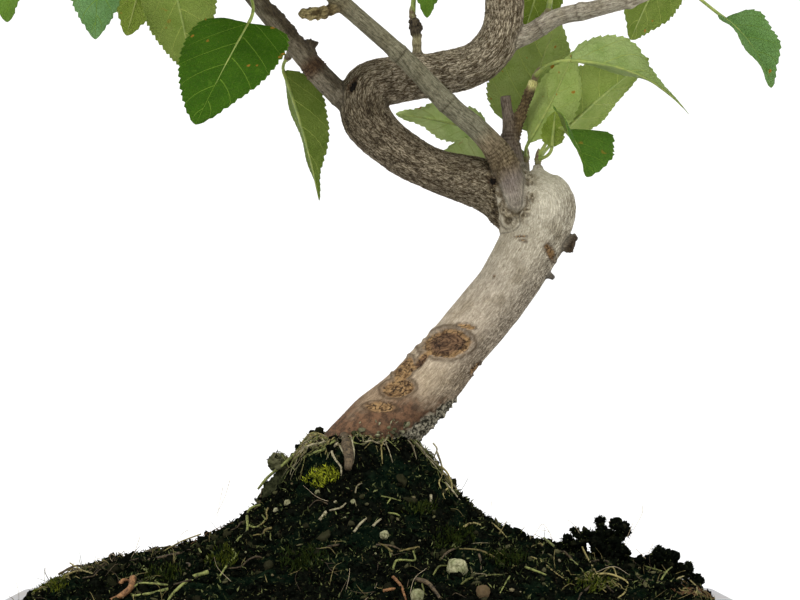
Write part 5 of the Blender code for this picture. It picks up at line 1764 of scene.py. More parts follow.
# Roots and stalks seen on the mound: material, radius in mm and pixels along the middle
STRANDS = [
    ("brown", 2.3, [(344, 434), (347, 446), (349, 458), (348, 469)]),
    ("pale", 0.5, [(332, 437), (339, 445), (345, 456), (346, 470)]),
    ("pale", 0.35, [(352, 440), (354, 452), (353, 464)]),
    ("pale", 0.7, [(331, 437), (322, 443), (309, 446), (299, 453), (292, 463)]),
    ("green", 0.6, [(335, 440), (325, 449), (316, 452), (303, 458)]),
    ("pale", 0.5, [(338, 443), (332, 450), (335, 459), (341, 467), (341, 476)]),
    ("pale", 0.6, [(327, 437), (312, 441), (301, 446)]),
    ("green", 0.7, [(297, 452), (285, 463), (268, 477), (258, 489)]),
    ("pale", 0.45, [(437, 452), (441, 463), (443, 472)]),
    ("straw", 0.4, [(441, 466), (448, 474), (452, 487), (449, 496)]),
    ("pale", 0.4, [(445, 482), (452, 490), (460, 500)]),
    ("straw", 0.35, [(443, 474), (439, 482), (441, 489)]),
    ("pale", 0.35, [(433, 443), (437, 449), (434, 457)]),
    ("straw", 0.3, [(448, 488), (443, 494), (446, 501)]),
    ("brown", 0.5, [(59, 574), (75, 566), (88, 567), (101, 562)]),
    ("straw", 0.35, [(62, 577), (77, 571), (93, 572)]),
    ("straw", 0.3, [(70, 563), (82, 570), (97, 575)]),
    ("brown", 0.4, [(692, 586), (700, 592), (703, 600)]),
    ("straw", 0.25, [(690, 580), (697, 588), (694, 597)]),
    ("green", 0.5, [(261, 505), (251, 508), (247, 516), (249, 525), (257, 527), (265, 520), (262, 515)]),
    ("green", 0.55, [(247, 516), (247, 531), (237, 541), (233, 550), (236, 556), (228, 564), (220, 576)]),
    ("green", 0.75, [(208, 572), (193, 577), (182, 585), (172, 595), (167, 602)]),
    ("green", 0.6, [(168, 589), (153, 593), (132, 596)]),
    ("green", 0.4, [(168, 585), (143, 583), (134, 587), (126, 595)]),
    ("green", 0.35, [(144, 566), (138, 574), (130, 580)]),
    ("green", 0.35, [(144, 569), (153, 577), (159, 583)]),
    ("straw", 0.3, [(201, 534), (180, 542), (159, 554)]),
    ("brown", 0.6, [(180, 553), (163, 557), (149, 560), (134, 565)]),
    ("green", 0.4, [(198, 546), (200, 551), (206, 556)]),
    ("orange", 1.25, [(133, 578), (131, 587), (122, 595), (110, 601)]),
    ("orange", 0.8, [(120, 584), (124, 580), (131, 582)]),
    ("pale", 0.75, [(320, 520), (327, 511), (336, 501)]),
    ("pale", 0.4, [(327, 511), (340, 508), (346, 503)]),
    ("pale", 0.5, [(354, 532), (360, 524), (367, 518)]),
    ("pale", 0.5, [(373, 526), (377, 522), (381, 519)]),
    ("green", 0.3, [(381, 496), (391, 498), (401, 501)]),
    ("green", 0.3, [(391, 498), (387, 504)]),
    ("pale", 0.55, [(431, 495), (431, 501), (431, 507)]),
    ("green", 0.35, [(388, 513), (396, 514), (401, 517)]),
    ("brown", 0.45, [(376, 545), (391, 546), (401, 550)]),
    ("green", 0.45, [(393, 570), (396, 561), (405, 560), (415, 560), (413, 551)]),
    ("orange", 0.6, [(393, 577), (401, 586), (406, 600)]),
    ("orange", 0.55, [(383, 591), (392, 589), (401, 589)]),
    ("brown", 0.9, [(416, 579), (429, 584), (441, 600)]),
    ("straw", 0.3, [(492, 523), (500, 530), (507, 538)]),
    ("straw", 0.45, [(459, 530), (471, 523), (481, 525)]),
    ("green", 0.5, [(525, 567), (536, 571), (546, 575)]),
    ("green", 0.3, [(510, 576), (505, 584), (500, 593)]),
    ("brown", 0.4, [(479, 554), (481, 562), (481, 570)]),
    ("green", 0.5, [(544, 538), (560, 551), (578, 565)]),
    ("straw", 0.35, [(579, 540), (586, 555), (594, 569), (602, 582)]),
    ("straw", 0.4, [(591, 575), (609, 574), (627, 582), (625, 592), (618, 598)]),
    ("straw", 0.25, [(600, 575), (612, 567), (617, 577), (622, 588)]),
    ("green", 0.35, [(661, 580), (667, 571), (672, 567)]),
    ("straw", 0.35, [(664, 585), (676, 579), (684, 576)]),
    ("brown", 0.5, [(440, 560), (448, 552), (459, 547)]),
    ("straw", 0.3, [(531, 557), (541, 561), (553, 571), (566, 580)]),
]
# Hairs that stand out against the background: depth in mm and pixels along them
HAIRS = [
    (-6, [(230, 480), (224, 499), (212, 523)]), (-4, [(223, 487), (220, 501), (217, 520)]),
    (-5, [(140, 537), (134, 553), (125, 566)]), (-6, [(118, 552), (127, 559), (136, 563)]),
    (-4, [(642, 504), (642, 514), (632, 533), (624, 553)]), (-3, [(653, 544), (646, 558), (644, 566)]),
    (-5, [(636, 549), (646, 559), (650, 566)]), (-4, [(491, 501), (492, 507), (492, 516)]),
    (-6, [(568, 520), (574, 525), (580, 534)]), (-4, [(550, 533), (543, 524), (537, 531), (531, 541)]),
    (-6, [(188, 530), (182, 534), (178, 541)]), (-4, [(607, 522), (612, 522), (611, 531)]),
    (-5, [(552, 540), (549, 532), (541, 531), (533, 536)]), (-8, [(633, 523), (627, 538), (623, 549)]),
    (-5, [(115, 556), (110, 553), (111, 560), (118, 563)]),
]
# Pale seeds and bits: pixel, radius in mm and how brown they are
SEEDS = [
    (384.6, 536, 1.4, 0.1), (456.7, 570, 3.2, 0), (483, 594, 2.1, 0.95), (417, 597, 2, 0.2),
    (318, 493, 0.9, 0.3), (288, 504, 1.1, 0.2), (277, 511, 0.9, 0.1), (353, 502, 0.8, 0.2),
]
# Tufts of moss: pixel of the middle, half width and half height in pixels, blades and brightness
TUFTS = [
    (322, 478, 19, 11, 420, 0.85), (222, 560, 17, 13, 260, 0.12), (452, 540, 26, 13, 380, 0.045),
    (420, 510, 20, 8, 200, 0.05), (505, 560, 24, 10, 260, 0.04), (300, 560, 30, 14, 320, 0.035),
    (590, 585, 26, 9, 200, 0.14), (50, 585, 22, 9, 240, 0.25), (160, 575, 24, 9, 180, 0.05),
]
# Bundles of loose fibres: pixels of the two ends, half height in pixels, number and kinds
BUNDLES = [
    ((60, 572), (116, 563), 6, 46, ("straw", "brown", "brown")), ((152, 552), (178, 538), 8, 26, ("brown",)),
    ((199, 530), (215, 524), 4, 9, ("orange", "brown")), ((686, 596), (704, 590), 6, 30, ("orange", "straw")),
    ((28, 592), (62, 577), 6, 40, ("straw", "green")),
    ((432, 450), (456, 496), 5, 34, ("pale", "straw", "green")),
    ((286, 462), (330, 440), 4, 60, ("pale", "straw", "green")),
    ((560, 575), (620, 590), 8, 24, ("straw", "green")),
]
# Kinds of root and fibre: material's name, then its darkest, lightest and spot colours
FIBRES = {
    "green": ("green_root", (0.05, 0.06, 0.014), (0.24, 0.26, 0.075), (0.03, 0.025, 0.01)),
    "pale": ("pale_root", (0.12, 0.1, 0.055), (0.38, 0.34, 0.21), (0.06, 0.045, 0.02)),
    "straw": ("straw", (0.11, 0.09, 0.03), (0.36, 0.3, 0.11), (0.06, 0.045, 0.015)),
    "brown": ("brown_root", (0.02, 0.014, 0.008), (0.12, 0.085, 0.045), (0.2, 0.16, 0.08)),
    "orange": ("orange_root", (0.08, 0.035, 0.014), (0.3, 0.15, 0.06), (0.03, 0.016, 0.008)),
}


def soil_height(x, y, clumps=1.0):
    half_x = POT_LENGTH / 2 - inner_inset(POT_HEIGHT)
    half_y = POT_DEPTH / 2 - inner_inset(POT_HEIGHT)
    square = (abs(x) / half_x) ** OUTLINE_SQUARENESS + (abs(y) / half_y) ** OUTLINE_SQUARENESS
    out = min(square ** (1 / OUTLINE_SQUARENESS), 1)
    dome = DOME_HEIGHT * (1 - out ** DOME_FLATNESS)
    away = math.hypot(x - NECK_CENTRE[0], y - NECK_CENTRE[1])
    neck = NECK_HEIGHT / (1 + (away / NECK_RADIUS) ** NECK_STEEPNESS)
    clump = 0
    for clump_x, clump_y, clump_height, clump_radius in CLUMPS:
        away = math.hypot(x - clump_x, y - clump_y) / clump_radius
        clump += clump_height * math.exp(-away ** 2)
    place = Vector((x, y, 0)) / LUMP_SIZE
    lumps = LUMP_HEIGHT * (noise.noise(place) + 0.5 * noise.noise(2.3 * place)) * (1 - out ** 8)
    return POT_HEIGHT - SOIL_BELOW_RIM + dome + neck + clumps * clump + lumps


def reach(ring, way):
    """Where a ray from the middle leaves a convex ring."""
    for a, b in zip(ring, ring[1:] + ring[:1]):
        edge = Vector((b[0] - a[0], b[1] - a[1]))
        across = way.x * edge.y - way.y * edge.x
        if abs(across) < 1e-9:
            continue
        far = (a[0] * edge.y - a[1] * edge.x) / across
        along = (a[0] * way.y - a[1] * way.x) / across
        if far > 0 and -1e-9 <= along <= 1 + 1e-9:
            return way * far
    raise ValueError("the ray misses the ring")


def soil_relief(points):
    """Crumbs of the mound: rounded lumps of two sizes."""
    rim = np.maximum(np.abs(points[:, 0]) / SOIL_EDGE[0], np.abs(points[:, 1]) / SOIL_EDGE[1])
    calm = 1 - smooth_step(rim, 0.95, 1)
    flat = np.stack([points[:, 0], points[:, 1], 0.6 * points[:, 2]], axis=1)
    large = 0.8 - 2.4 * np.abs(waves(flat, 7.5, 2))
    small = 0.5 - 2.2 * np.abs(waves(flat, 3.1, 2))
    crumbs = (1.1 * large + 0.9 * small) * (0.2 + 0.8 * calm) - 0.3
    high, away, wide = SHOULDER
    from_neck = np.hypot(points[:, 0] - NECK_CENTRE[0], points[:, 1] - NECK_CENTRE[1])
    crumbs += high * hump(from_neck - away, wide)
    deep, away, wide = HOLLOW
    return crumbs - deep * hump(np.abs(points[:, 0]) - away, wide) * (0.4 + 0.6 * hump(points[:, 1], 45))


def build_soil():
    edge = POT_HEIGHT - SOIL_BELOW_RIM
    low = FOOT_HEIGHT + FLOOR + GAP
    ways = [2 * math.pi * (i + 0.5) / SOIL_SIDES for i in range(SOIL_SIDES)]
    wall = pot_ring(inner_inset(edge) + GAP, edge, 9)
    base = pot_ring(inner_inset(low) + GAP, low, 9)
    outer = [reach(wall, Vector((math.cos(a), math.sin(a)))) for a in ways]
    inner = [reach(base, Vector((math.cos(a), math.sin(a)))) for a in ways]
    rings = [[(p.x, p.y, low) for p in inner], [(p.x, p.y, edge - 3) for p in outer]]
    for row in range(SOIL_RINGS):
        share = 1 - row / SOIL_RINGS
        ring = [(p.x * share, p.y * share) for p in outer]
        rings.append([(x, y, soil_height(x, y, CLUMP_SHARE)) for x, y in ring])
    points, faces = lofted(rings)
    points = np.array(points)
    top = np.arange(len(points)) >= 2 * SOIL_SIDES
    points[top, 2] += soil_relief(points)[top]
    item = mesh_piece("soil_mound", points, faces, [soil_material()], "soil")
    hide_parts("soil")
    return item


def soil_material():
    shader = Shader("dark_soil", 1.0, 0.0)
    place = shader.object_place()
    grain = shader.noise(place, 0.6, 6, 0.7)
    # Nearly black: partly the soil's own colour, partly painted shade of the gaps between its crumbs
    colour = shader.mix(shader.between(grain, 0.36, 0.66), (0.0008, 0.001, 0.0008), (0.005, 0.006, 0.004))
    patch = shader.noise(place, 0.08, 4)
    green = shader.mix(shader.between(grain, 0.4, 0.7), (0.0012, 0.004, 0.0025), (0.007, 0.015, 0.007))
    colour = shader.mix(shader.times(shader.between(patch, 0.45, 0.62), 0.8), colour, green)
    bits = shader.between(shader.noise(place, 1.1, 3), 0.64, 0.72)
    colour = shader.mix(shader.times(bits, 0.7), colour, (0.1, 0.105, 0.035))
    crumbs = shader.between(shader.noise(place, 1.7, 2), 0.68, 0.75)
    colour = shader.mix(shader.times(crumbs, 0.6), colour, (0.13, 0.08, 0.04))
    shader.set(colour, "Base Color")
    shader.bump(grain, 1.2)
    return shader.material


class Ground:
    """The mound's surface with its crumbs and the old root on it, to seat things on."""

    ABOVE = 40  # mm over the soil from which rays look down
    PIXELS_DOWN = 12  # how many pixels lower a line of sight is tried
    NEAR_SIDE = -5  # depth where none of them meets the surface

    def __init__(self, items):
        points = []
        faces = []
        for item in items:
            faces += [tuple(i + len(points) for i in face.vertices) for face in item.data.polygons]
            points += [Vector(p) for p in mesh_points(item.data).tolist()]
        self.tree = BVHTree.FromPolygons(points, faces)
        self.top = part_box("soil")[1].z / MM + self.ABOVE
        self.draw = random.Random(SEED + 3)

    def seat(self, x, y):
        """Place and normal of the surface under (x, y)."""
        place, normal, _, _ = self.tree.ray_cast(Vector((x, y, self.top)), Vector((0, 0, -1)))
        return place, normal

    def under_pixel(self, px, py):
        """Place and normal where a line of sight of the photograph meets the surface."""
        for lower in range(self.PIXELS_DOWN):
            place, normal, _, _ = self.tree.ray_cast(Vector(CAMERA_PLACE), sight(px, py + lower))
            if place:
                return place, normal
        return self.seat(at_depth(px, py, self.NEAR_SIDE).x, self.NEAR_SIDE)

    def path(self, pixels, lift):
        """Places under a line of pixels, nearer the camera where the ground dips between two of them."""
        eye = Vector(CAMERA_PLACE)
        far = []
        for px, py in pixels:
            place, normal = self.under_pixel(px, py)
            far.append((place + normal * lift - eye).length)
        near = [min(b, (a + c) / 2) for a, b, c in zip(far[:1] + far, far, far[1:] + far[-1:])]
        return [eye + sight(px, py) * away for (px, py), away in zip(pixels, near)]

    def scatter(self, count, wanted=None):
        """Seats spread over the mound, kept where wanted(place) is more than a draw from 0 to 1."""
        seats = []
        while len(seats) < count:
            x = self.draw.uniform(-1, 1)
            y = self.draw.uniform(-1, 1)
            if x ** 6 + y ** 6 > 1:
                continue
            place, normal = self.seat(x * SOIL_REACH[0], y * SOIL_REACH[1])
            if not place or wanted and wanted(place) < self.draw.random():
                continue
            seats.append((place, normal))
        return seats


def sight(px, py):
    """Way of the line of sight through a pixel of the photograph."""
    _, ahead, right, up = camera_axes()
    scale = SENSOR_WIDTH / CAMERA_LENS / PHOTO_WIDTH
    way = ahead + right * ((px - PHOTO_CENTRE[0]) * scale) - up * ((py - PHOTO_CENTRE[1]) * scale)
    return way.normalized()


def at_depth(px, py, y):
    way = sight(px, py)
    return Vector(CAMERA_PLACE) + way * ((y - CAMERA_PLACE[1]) / way.y)


def camera_axes():
    yaw = math.radians(CAMERA_YAW)
    pitch = math.radians(CAMERA_PITCH)
    ahead = Vector((math.sin(yaw) * math.cos(pitch), math.cos(yaw) * math.cos(pitch), math.sin(pitch)))
    right = ahead.cross(Vector((0, 0, 1))).normalized()
    return Vector(CAMERA_PLACE), ahead, right, right.cross(ahead)


def ball(detail):
    """Points and triangles of a ball of radius 1."""
    shape = bmesh.new()
    bmesh.ops.create_icosphere(shape, subdivisions=detail, radius=1)
    points = np.array([tuple(v.co) for v in shape.verts])
    faces = [tuple(v.index for v in face.verts) for face in shape.faces]
    shape.free()
    return points, faces


def any_way(draw):
    way = Vector((draw.gauss(0, 1), draw.gauss(0, 1), draw.gauss(0, 1)))
    return way.normalized()


def add_lump(shape, draw, model, place, radius, rough, tone, stretch=0.35, flat=1.0):
    """An uneven crumb: a ball stretched along random axes, with bumps, or a flake of it."""
    points, faces = model
    turn = Quaternion(any_way(draw), draw.uniform(0, ABOUT_A_TURN)).to_matrix()
    scale = np.array([1 + draw.uniform(-stretch, stretch) for _ in range(3)]) * radius * (1, 1, flat)
    seed = draw.uniform(0, 500)
    bumps = 1 + rough * waves(points * 1.4 + seed, 1, 2)
    points = (points * bumps[:, None] * scale) @ np.array(turn).T + np.array(place)
    shape.add(points, faces, 0, tone=tone)


def add_blade_of_moss(shape, draw, place, way, length, width, tone):
    """A pointed three-sided blade that bends over a little."""
    side = way.cross(any_way(draw)).normalized()
    other = way.cross(side)
    bend = side * (0.25 * length)
    middle = place + way * (0.45 * length)
    points = [place]
    for i in range(3):
        turn = 2 * math.pi * i / 3
        points.append(middle + width * (math.cos(turn) * side + 0.45 * math.sin(turn) * other))
    points.append(place + way * length + bend)
    faces = [(0, 2, 1), (0, 3, 2), (0, 1, 3), (4, 1, 2), (4, 2, 3), (4, 3, 1)]
    shape.add(points, faces, 0, tone=tone)


def add_strand(shape, points, radius, sides, tone, slot=0, end=0.35, steps=4):
    """A root or fibre through points, thinner at its far end, with slight knots."""
    run = smooth_run([(*p, 1) for p in points], steps)
    count = len(run) - 1
    thick = []
    for i, (place, _) in enumerate(run):
        share = i / count
        knot = 1 + 0.16 * noise.noise(place / 1.7)
        thick.append((place, radius * knot * (1 - (1 - end) * share ** 2)))
    rings = [ring_of(place, along, side, width, sides) for place, width, along, side in framed(thick)]
    points, faces = lofted(rings)
    shape.add(points, faces, slot, tone=tone)


def crumb_material(name, dark, light, spark):
    shader = Shader(name, 1.0, 0.0)
    place = shader.object_place()
    tone = shader.attribute("tone")
    grain = shader.noise(place, 1.2, 5, 0.65)
    colour = shader.mix(shader.between(grain, 0.35, 0.68), dark, light)
    colour = shader.mix(shader.part(tone, 0), colour, spark)
    patch = shader.noise(place, 0.3, 2)
    colour = shader.multiply(shader.between(patch, 0.4, 0.7), colour, (0.6, 0.66, 0.55))
    shader.set(colour, "Base Color")
    shader.bump(grain, 0.5)
    return shader.material


def fibre_material(name, dark, light, spot):
    shader = Shader(name, 0.7, 0.25)
    place = shader.object_place()
    tone = shader.attribute("tone")
    grain = shader.noise(place, 0.9, 4, 0.6)
    colour = shader.mix(shader.between(grain, 0.32, 0.66), dark, light)
    colour = shader.multiply(shader.part(tone, 1), colour, (0.4, 0.38, 0.3))
    spots = shader.between(shader.noise(place, 2.1, 2), 0.6, 0.7)
    colour = shader.mix(shader.times(spots, 0.5), colour, spot)
    shader.set(colour, "Base Color")
    shader.bump(grain, 0.25)
    return shader.material


def clear_of_trunk(place):
    away = math.hypot(place.x - FOOT_RUN[2][0], place.y)
    return 0 if away < TRUNK_CLEARANCE else 1


def behind(place):
    return 1 if place.y > 5 else 0


def build_crumbs(ground):
    shape = Shape("tone")
    draw = ground.draw
    small = ball(1)
    large = ball(2)
    for place, normal in ground.scatter(CRUMB_COUNT, clear_of_trunk):
        radius = draw.uniform(0.4, 1.2)
        flat = draw.choice((0.25, 0.35, 0.6, 1))
        tone = (0.8 * draw.random() ** 9, 0, 0)
        add_lump(shape, draw, small, place + normal * (0.3 * radius), radius, 0.8, tone, 0.4, flat)
    for place, normal in ground.scatter(LARGE_CRUMB_COUNT, clear_of_trunk):
        radius = draw.uniform(0.9, 1.9)
        flat = draw.choice((0.4, 0.7, 1))
        tone = (0.2 * draw.random() ** 6, 0, 0)
        add_lump(shape, draw, large, place + normal * (0.1 * radius), radius, 0.9, tone, 0.4, flat)
    for px, py, depth, radius in CLUMP_LUMPS:
        place = at_depth(px, py, depth)
        add_lump(shape, draw, ball(3), place, 0.9 * radius, 0.8, (0, 0, 0))
        for _ in range(LUMP_CRUMBS):
            off = any_way(draw) * (0.9 * radius)
            add_lump(shape, draw, small, place + off, 0.36 * radius, 0.8, (0.1 * draw.random() ** 4, 0, 0))
    # Nearly black: partly the crumbs' own colour, partly painted shade of the gaps between them
    material = crumb_material(
        "soil_crumbs", (0.0008, 0.001, 0.0008), (0.006, 0.0075, 0.005), (0.15, 0.14, 0.07))
    return shape.piece("soil_crumbs", [material])


def moss_tone(draw, place):
    """Darkness of a blade of moss: paler round the trunk's foot and in scattered spots."""
    near = math.hypot(place.x - FOOT_RUN[2][0], place.y)
    pale = max(0, 1 - abs(near - 14) / 9) * draw.random()
    spotted = draw.random() ** 5
    return min(0.85 * pale + 0.7 * spotted, 1)


def build_moss(ground):
    shape = Shape("tone")
    draw = ground.draw

    def patchy(place):
        near = math.hypot(place.x - FOOT_RUN[2][0], place.y)
        patch = 0.5 + 1.1 * noise.noise(place / 17)
        return clear_of_trunk(place) * min(1, 0.15 + patch + max(0, 1 - near / 40))

    for place, normal in ground.scatter(MOSS_COUNT, patchy):
        way = (normal * draw.uniform(0.3, 1.1) + any_way(draw)).normalized()
        tone = (moss_tone(draw, place), draw.random(), 0)
        add_blade_of_moss(
            shape, draw, place - normal * 0.2, way, draw.uniform(0.9, 2.4), draw.uniform(0.18, 0.42), tone)
    for place, normal in ground.scatter(FLECK_COUNT, clear_of_trunk):
        way = (normal * draw.uniform(-0.1, 0.5) + any_way(draw)).normalized()
        tone = (0.75 * draw.uniform(0.15, 1) ** 2, 0, 0)
        add_blade_of_moss(
            shape, draw, place + normal * 0.3, way, draw.uniform(0.7, 2.4), draw.uniform(0.1, 0.22), tone)
    for px, py, depth, radius in CLUMP_LUMPS:
        for _ in range(LUMP_BLADES):
            out = any_way(draw)
            place = at_depth(px, py, depth) + out * (0.85 * radius)
            way = (out + 0.8 * any_way(draw)).normalized()
            add_blade_of_moss(shape, draw, place, way, draw.uniform(0.6, 1.5), draw.uniform(0.12, 0.3),
                              (0.35 * draw.random() ** 4, 0, 0))
    # Nearly black: partly the moss's own colour, partly painted shade of the gaps among the crumbs
    material = crumb_material("moss", (0.0016, 0.005, 0.0025), (0.01, 0.02, 0.008), (0.3, 0.32, 0.12))
    return shape.piece("moss_blades", [material], smooth=False)


def build_tufts(ground):
    """The bright cushion of moss at the trunk's foot, darker ones on the mound and small ones behind."""
    shape = Shape("tone")
    draw = ground.draw
    seats = []
    for px, py, wide, high, count, bright in TUFTS:
        left = count
        while left:
            u = draw.gauss(0, 0.5)
            v = draw.gauss(0, 0.5)
            if u * u + v * v < 1 and noise.noise((3 * u, 3 * v, px)) > -0.12 - 0.25 * u:
                place, normal = ground.under_pixel(px + u * wide, py + v * high - 0.25 * u * high)
                seats.append((place, normal, bright))
                left -= 1
    for centre, _ in ground.scatter(BACK_TUFTS, behind):
        spread = draw.uniform(1.5, 4)
        bright = draw.choice((0.12, 0.3, 0.8))
        for _ in range(BACK_TUFT_BLADES):
            place, normal = ground.seat(centre.x + draw.gauss(0, spread), centre.y + draw.gauss(0, spread))
            if place:
                seats.append((place, normal, bright))
    for place, normal, bright in seats:
        way = (normal * 0.9 + Vector((0, 0, 0.7)) + 0.8 * any_way(draw)).normalized()
        tone = (bright * draw.random() ** 1.3, 0, 0)
        add_blade_of_moss(shape, draw, place, way, draw.uniform(1.1, 2.6), draw.uniform(0.18, 0.34), tone)
    material = crumb_material("tuft_moss", (0.004, 0.009, 0.004), (0.02, 0.035, 0.01), (0.62, 0.66, 0.05))
    return shape.piece("moss_tufts", [material], smooth=False)


def build_seeds(ground):
    """Pale seeds with a dimple, and small pale pebbles and bits of shell."""
    shape = Shape("tone")
    draw = ground.draw
    model = ball(3)
    for px, py, radius, brown in SEEDS:
        place, normal = ground.under_pixel(px, py)
        points, faces = model
        toward = (Vector(CAMERA_PLACE) - place).normalized()
        dimple = np.exp(-((1 - points @ np.array(toward)) / 0.05) ** 2)
        uneven = 1 + 0.22 * waves(points * 1.3 + radius, 1, 3) - 0.35 * dimple
        shape.add(points * uneven[:, None] * radius + np.array(place + normal * (0.45 * radius)), faces, 0,
                  tone=(brown, 0, 0))
    small = ball(1)
    for place, normal in ground.scatter(SEED_COUNT, clear_of_trunk):
        radius = draw.uniform(0.3, 0.75)
        add_lump(shape, draw, small, place + normal * (0.4 * radius), radius, 0.35, (draw.random(), 0, 0))
    material = crumb_material("pale_seeds", (0.16, 0.16, 0.08), (0.44, 0.42, 0.26), (0.1, 0.065, 0.035))
    return shape.piece("seeds", [material])


def build_old_root():
    """The thick old root at the left of the neck, with the round knob on it."""
    shape = Shape("tone")
    draw = random.Random(SEED + 4)
    run = [(*at_depth(px, py, depth), radius) for px, py, depth, radius in OLD_ROOT]
    steps = smooth_run(run, 14)
    sides = 30
    rings = [ring_of(place, along, side, radius, sides) for place, radius, along, side in framed(steps)]
    points, faces = lofted(rings)
    points = np.array([tuple(p) for p in points])
    centres = np.repeat([tuple(place) for place, _ in steps], sides, axis=0)
    out = points - centres
    folds = 1 + 0.4 * waves(points, 3.4, 3) - 0.3 * np.abs(waves(points, 1.5, 2))
    shape.add(centres + out * folds[:, None], faces, 0, tone=(0.04, 0, 0))
    px, py, depth, radius = KNOB
    knob = at_depth(px, py, depth)
    add_lump(shape, draw, ball(4), knob, radius, 0.6, (0.3, 0, 0), 0.1)
    for _ in range(KNOB_CRUMBS):
        off = any_way(draw) * radius
        add_lump(shape, draw, ball(2), knob + off * 0.85, 0.3 * radius, 0.8, (0.6 * draw.random() ** 2, 0, 0))
    add_strand(shape, [knob, knob.lerp(at_depth(*OLD_ROOT[2][:3]), 0.6)], 2, 10, (0.2, 0, 0), end=1.1)
    material = crumb_material("old_root", (0.004, 0.006, 0.003), (0.036, 0.04, 0.019), (0.24, 0.23, 0.12))
    return shape.piece("old_root", [material])


def surface_walk(ground, place, heading, length, steps, lift):
    """A wandering path over the mound from a place."""
    draw = ground.draw
    path = []
    for i in range(steps + 1):
        seat, normal = ground.seat(place.x, place.y)
        if not seat:
            break
        path.append(seat + normal * lift * (1 + 0.8 * math.sin(2.1 * i)))
        heading += draw.gauss(0, 0.45)
        place = seat + Vector((math.cos(heading), math.sin(heading), 0)) * (length / steps)
    return path


def build_strands(ground):
    """Roots and stalks on the mound: those seen in the photograph, and others of their kind all round."""
    kinds = {kind: fibre_material(*looks) for kind, looks in FIBRES.items()}
    slots = {kind: i for i, kind in enumerate(kinds)}
    shape = Shape("tone")
    draw = ground.draw
    for kind, radius, pixels in STRANDS:
        radius = STRAND_SIZE * radius
        add_strand(shape, ground.path(pixels, 0.7 * radius), radius, 8, (0, 0.1, 0), slots[kind], 0.6, 6)
    for _ in range(FAN_COUNT):
        turn = draw.gauss(math.pi, 1.1)
        foot = Vector((FOOT_RUN[2][0] + 15 * math.cos(turn), 12 * math.sin(turn), 0))
        kind = draw.choice(("pale", "pale", "green", "straw", "brown"))
        path = surface_walk(ground, foot, turn + draw.gauss(0, 0.5), draw.uniform(4, 12), 4, 0.4)
        add_strand(shape, path, draw.uniform(0.12, 0.36), 5, (0, 0.8 * draw.random(), 0), slots[kind], 0.5, 3)
    for first, last, high, count, mixed in BUNDLES:
        for _ in range(count):
            add_loose_fibre(shape, ground, first, last, high, slots[draw.choice(mixed)])
    for place, _ in ground.scatter(STRAND_COUNT, clear_of_trunk):
        kind = draw.choice(("green", "green", "pale", "straw", "brown", "brown"))
        radius = draw.uniform(0.16, 0.42)
        heading = draw.uniform(0, ABOUT_A_TURN)
        path = surface_walk(ground, place, heading, draw.uniform(4, 16), 4, 1.3 * radius)
        if len(path) > 2:
            add_strand(shape, path, radius, 5, (0, 0.5 + 0.5 * draw.random(), 0), slots[kind], 0.5, 3)
    for place, normal in ground.scatter(FIBRE_COUNT, edge_of_mound):
        way = (normal * draw.uniform(0.1, 0.7) + any_way(draw)).normalized()
        length = draw.uniform(3, 9)
        curl = any_way(draw) * (0.3 * length)
        end = place + way * length - Vector((0, 0, 0.15 * length))
        path = [place, place + way * (0.5 * length) + curl * 0.5, end]
        add_strand(shape, path, draw.uniform(0.09, 0.17), 3, (0, draw.random(), 0),
                   slots[draw.choice(("straw", "straw", "brown"))], 0.4, 3)
    return shape.piece("roots_and_fibres", list(kinds.values()))


def add_loose_fibre(shape, ground, first, last, high, slot):
    """One fibre of a bundle that lies along the line between two pixels."""
    draw = ground.draw
    share = draw.random()
    px = first[0] + (last[0] - first[0]) * share + draw.gauss(0, 0.5 * high)
    py = first[1] + (last[1] - first[1]) * share + draw.gauss(0, 0.5 * high)
    heading = draw.gauss(draw.choice((0, math.pi)), 0.5)
    path = surface_walk(ground, ground.under_pixel(px, py)[0], heading, draw.uniform(2.5, 8), 4, 0.6)
    if len(path) > 2:
        add_strand(shape, path, draw.uniform(0.1, 0.22), 4, (0, 0.3 + 0.7 * draw.random(), 0), slot, 0.4, 3)


def edge_of_mound(place):
    out = max(abs(place.x) / SOIL_REACH[0], abs(place.y) / SOIL_REACH[1])
    return 0.1 + 0.9 * max(0, (out - 0.45) / 0.55)


def build_hairs(ground):
    shape = Shape("tone")
    draw = ground.draw
    for depth, pixels in HAIRS:
        path = [at_depth(px, py, depth) for px, py in pixels]
        add_strand(shape, path, 0.1, 4, (0, 0, 0), 0, 0.5, 6)
    for place, normal in ground.scatter(HAIR_COUNT, edge_of_mound):
        way = (normal + 0.9 * any_way(draw)).normalized()
        length = draw.uniform(6, 15)
        side = any_way(draw) * (0.2 * length)
        path = [place, place + way * (0.5 * length) + side, place + way * length]
        add_strand(shape, path, 0.09, 4, (0, 0, 0), 0, 0.5, 5)
    material = fibre_material("hair", (0.3, 0.22, 0.13), (0.5, 0.42, 0.28), (0.2, 0.13, 0.07))
    return shape.piece("stray_hairs", [material])


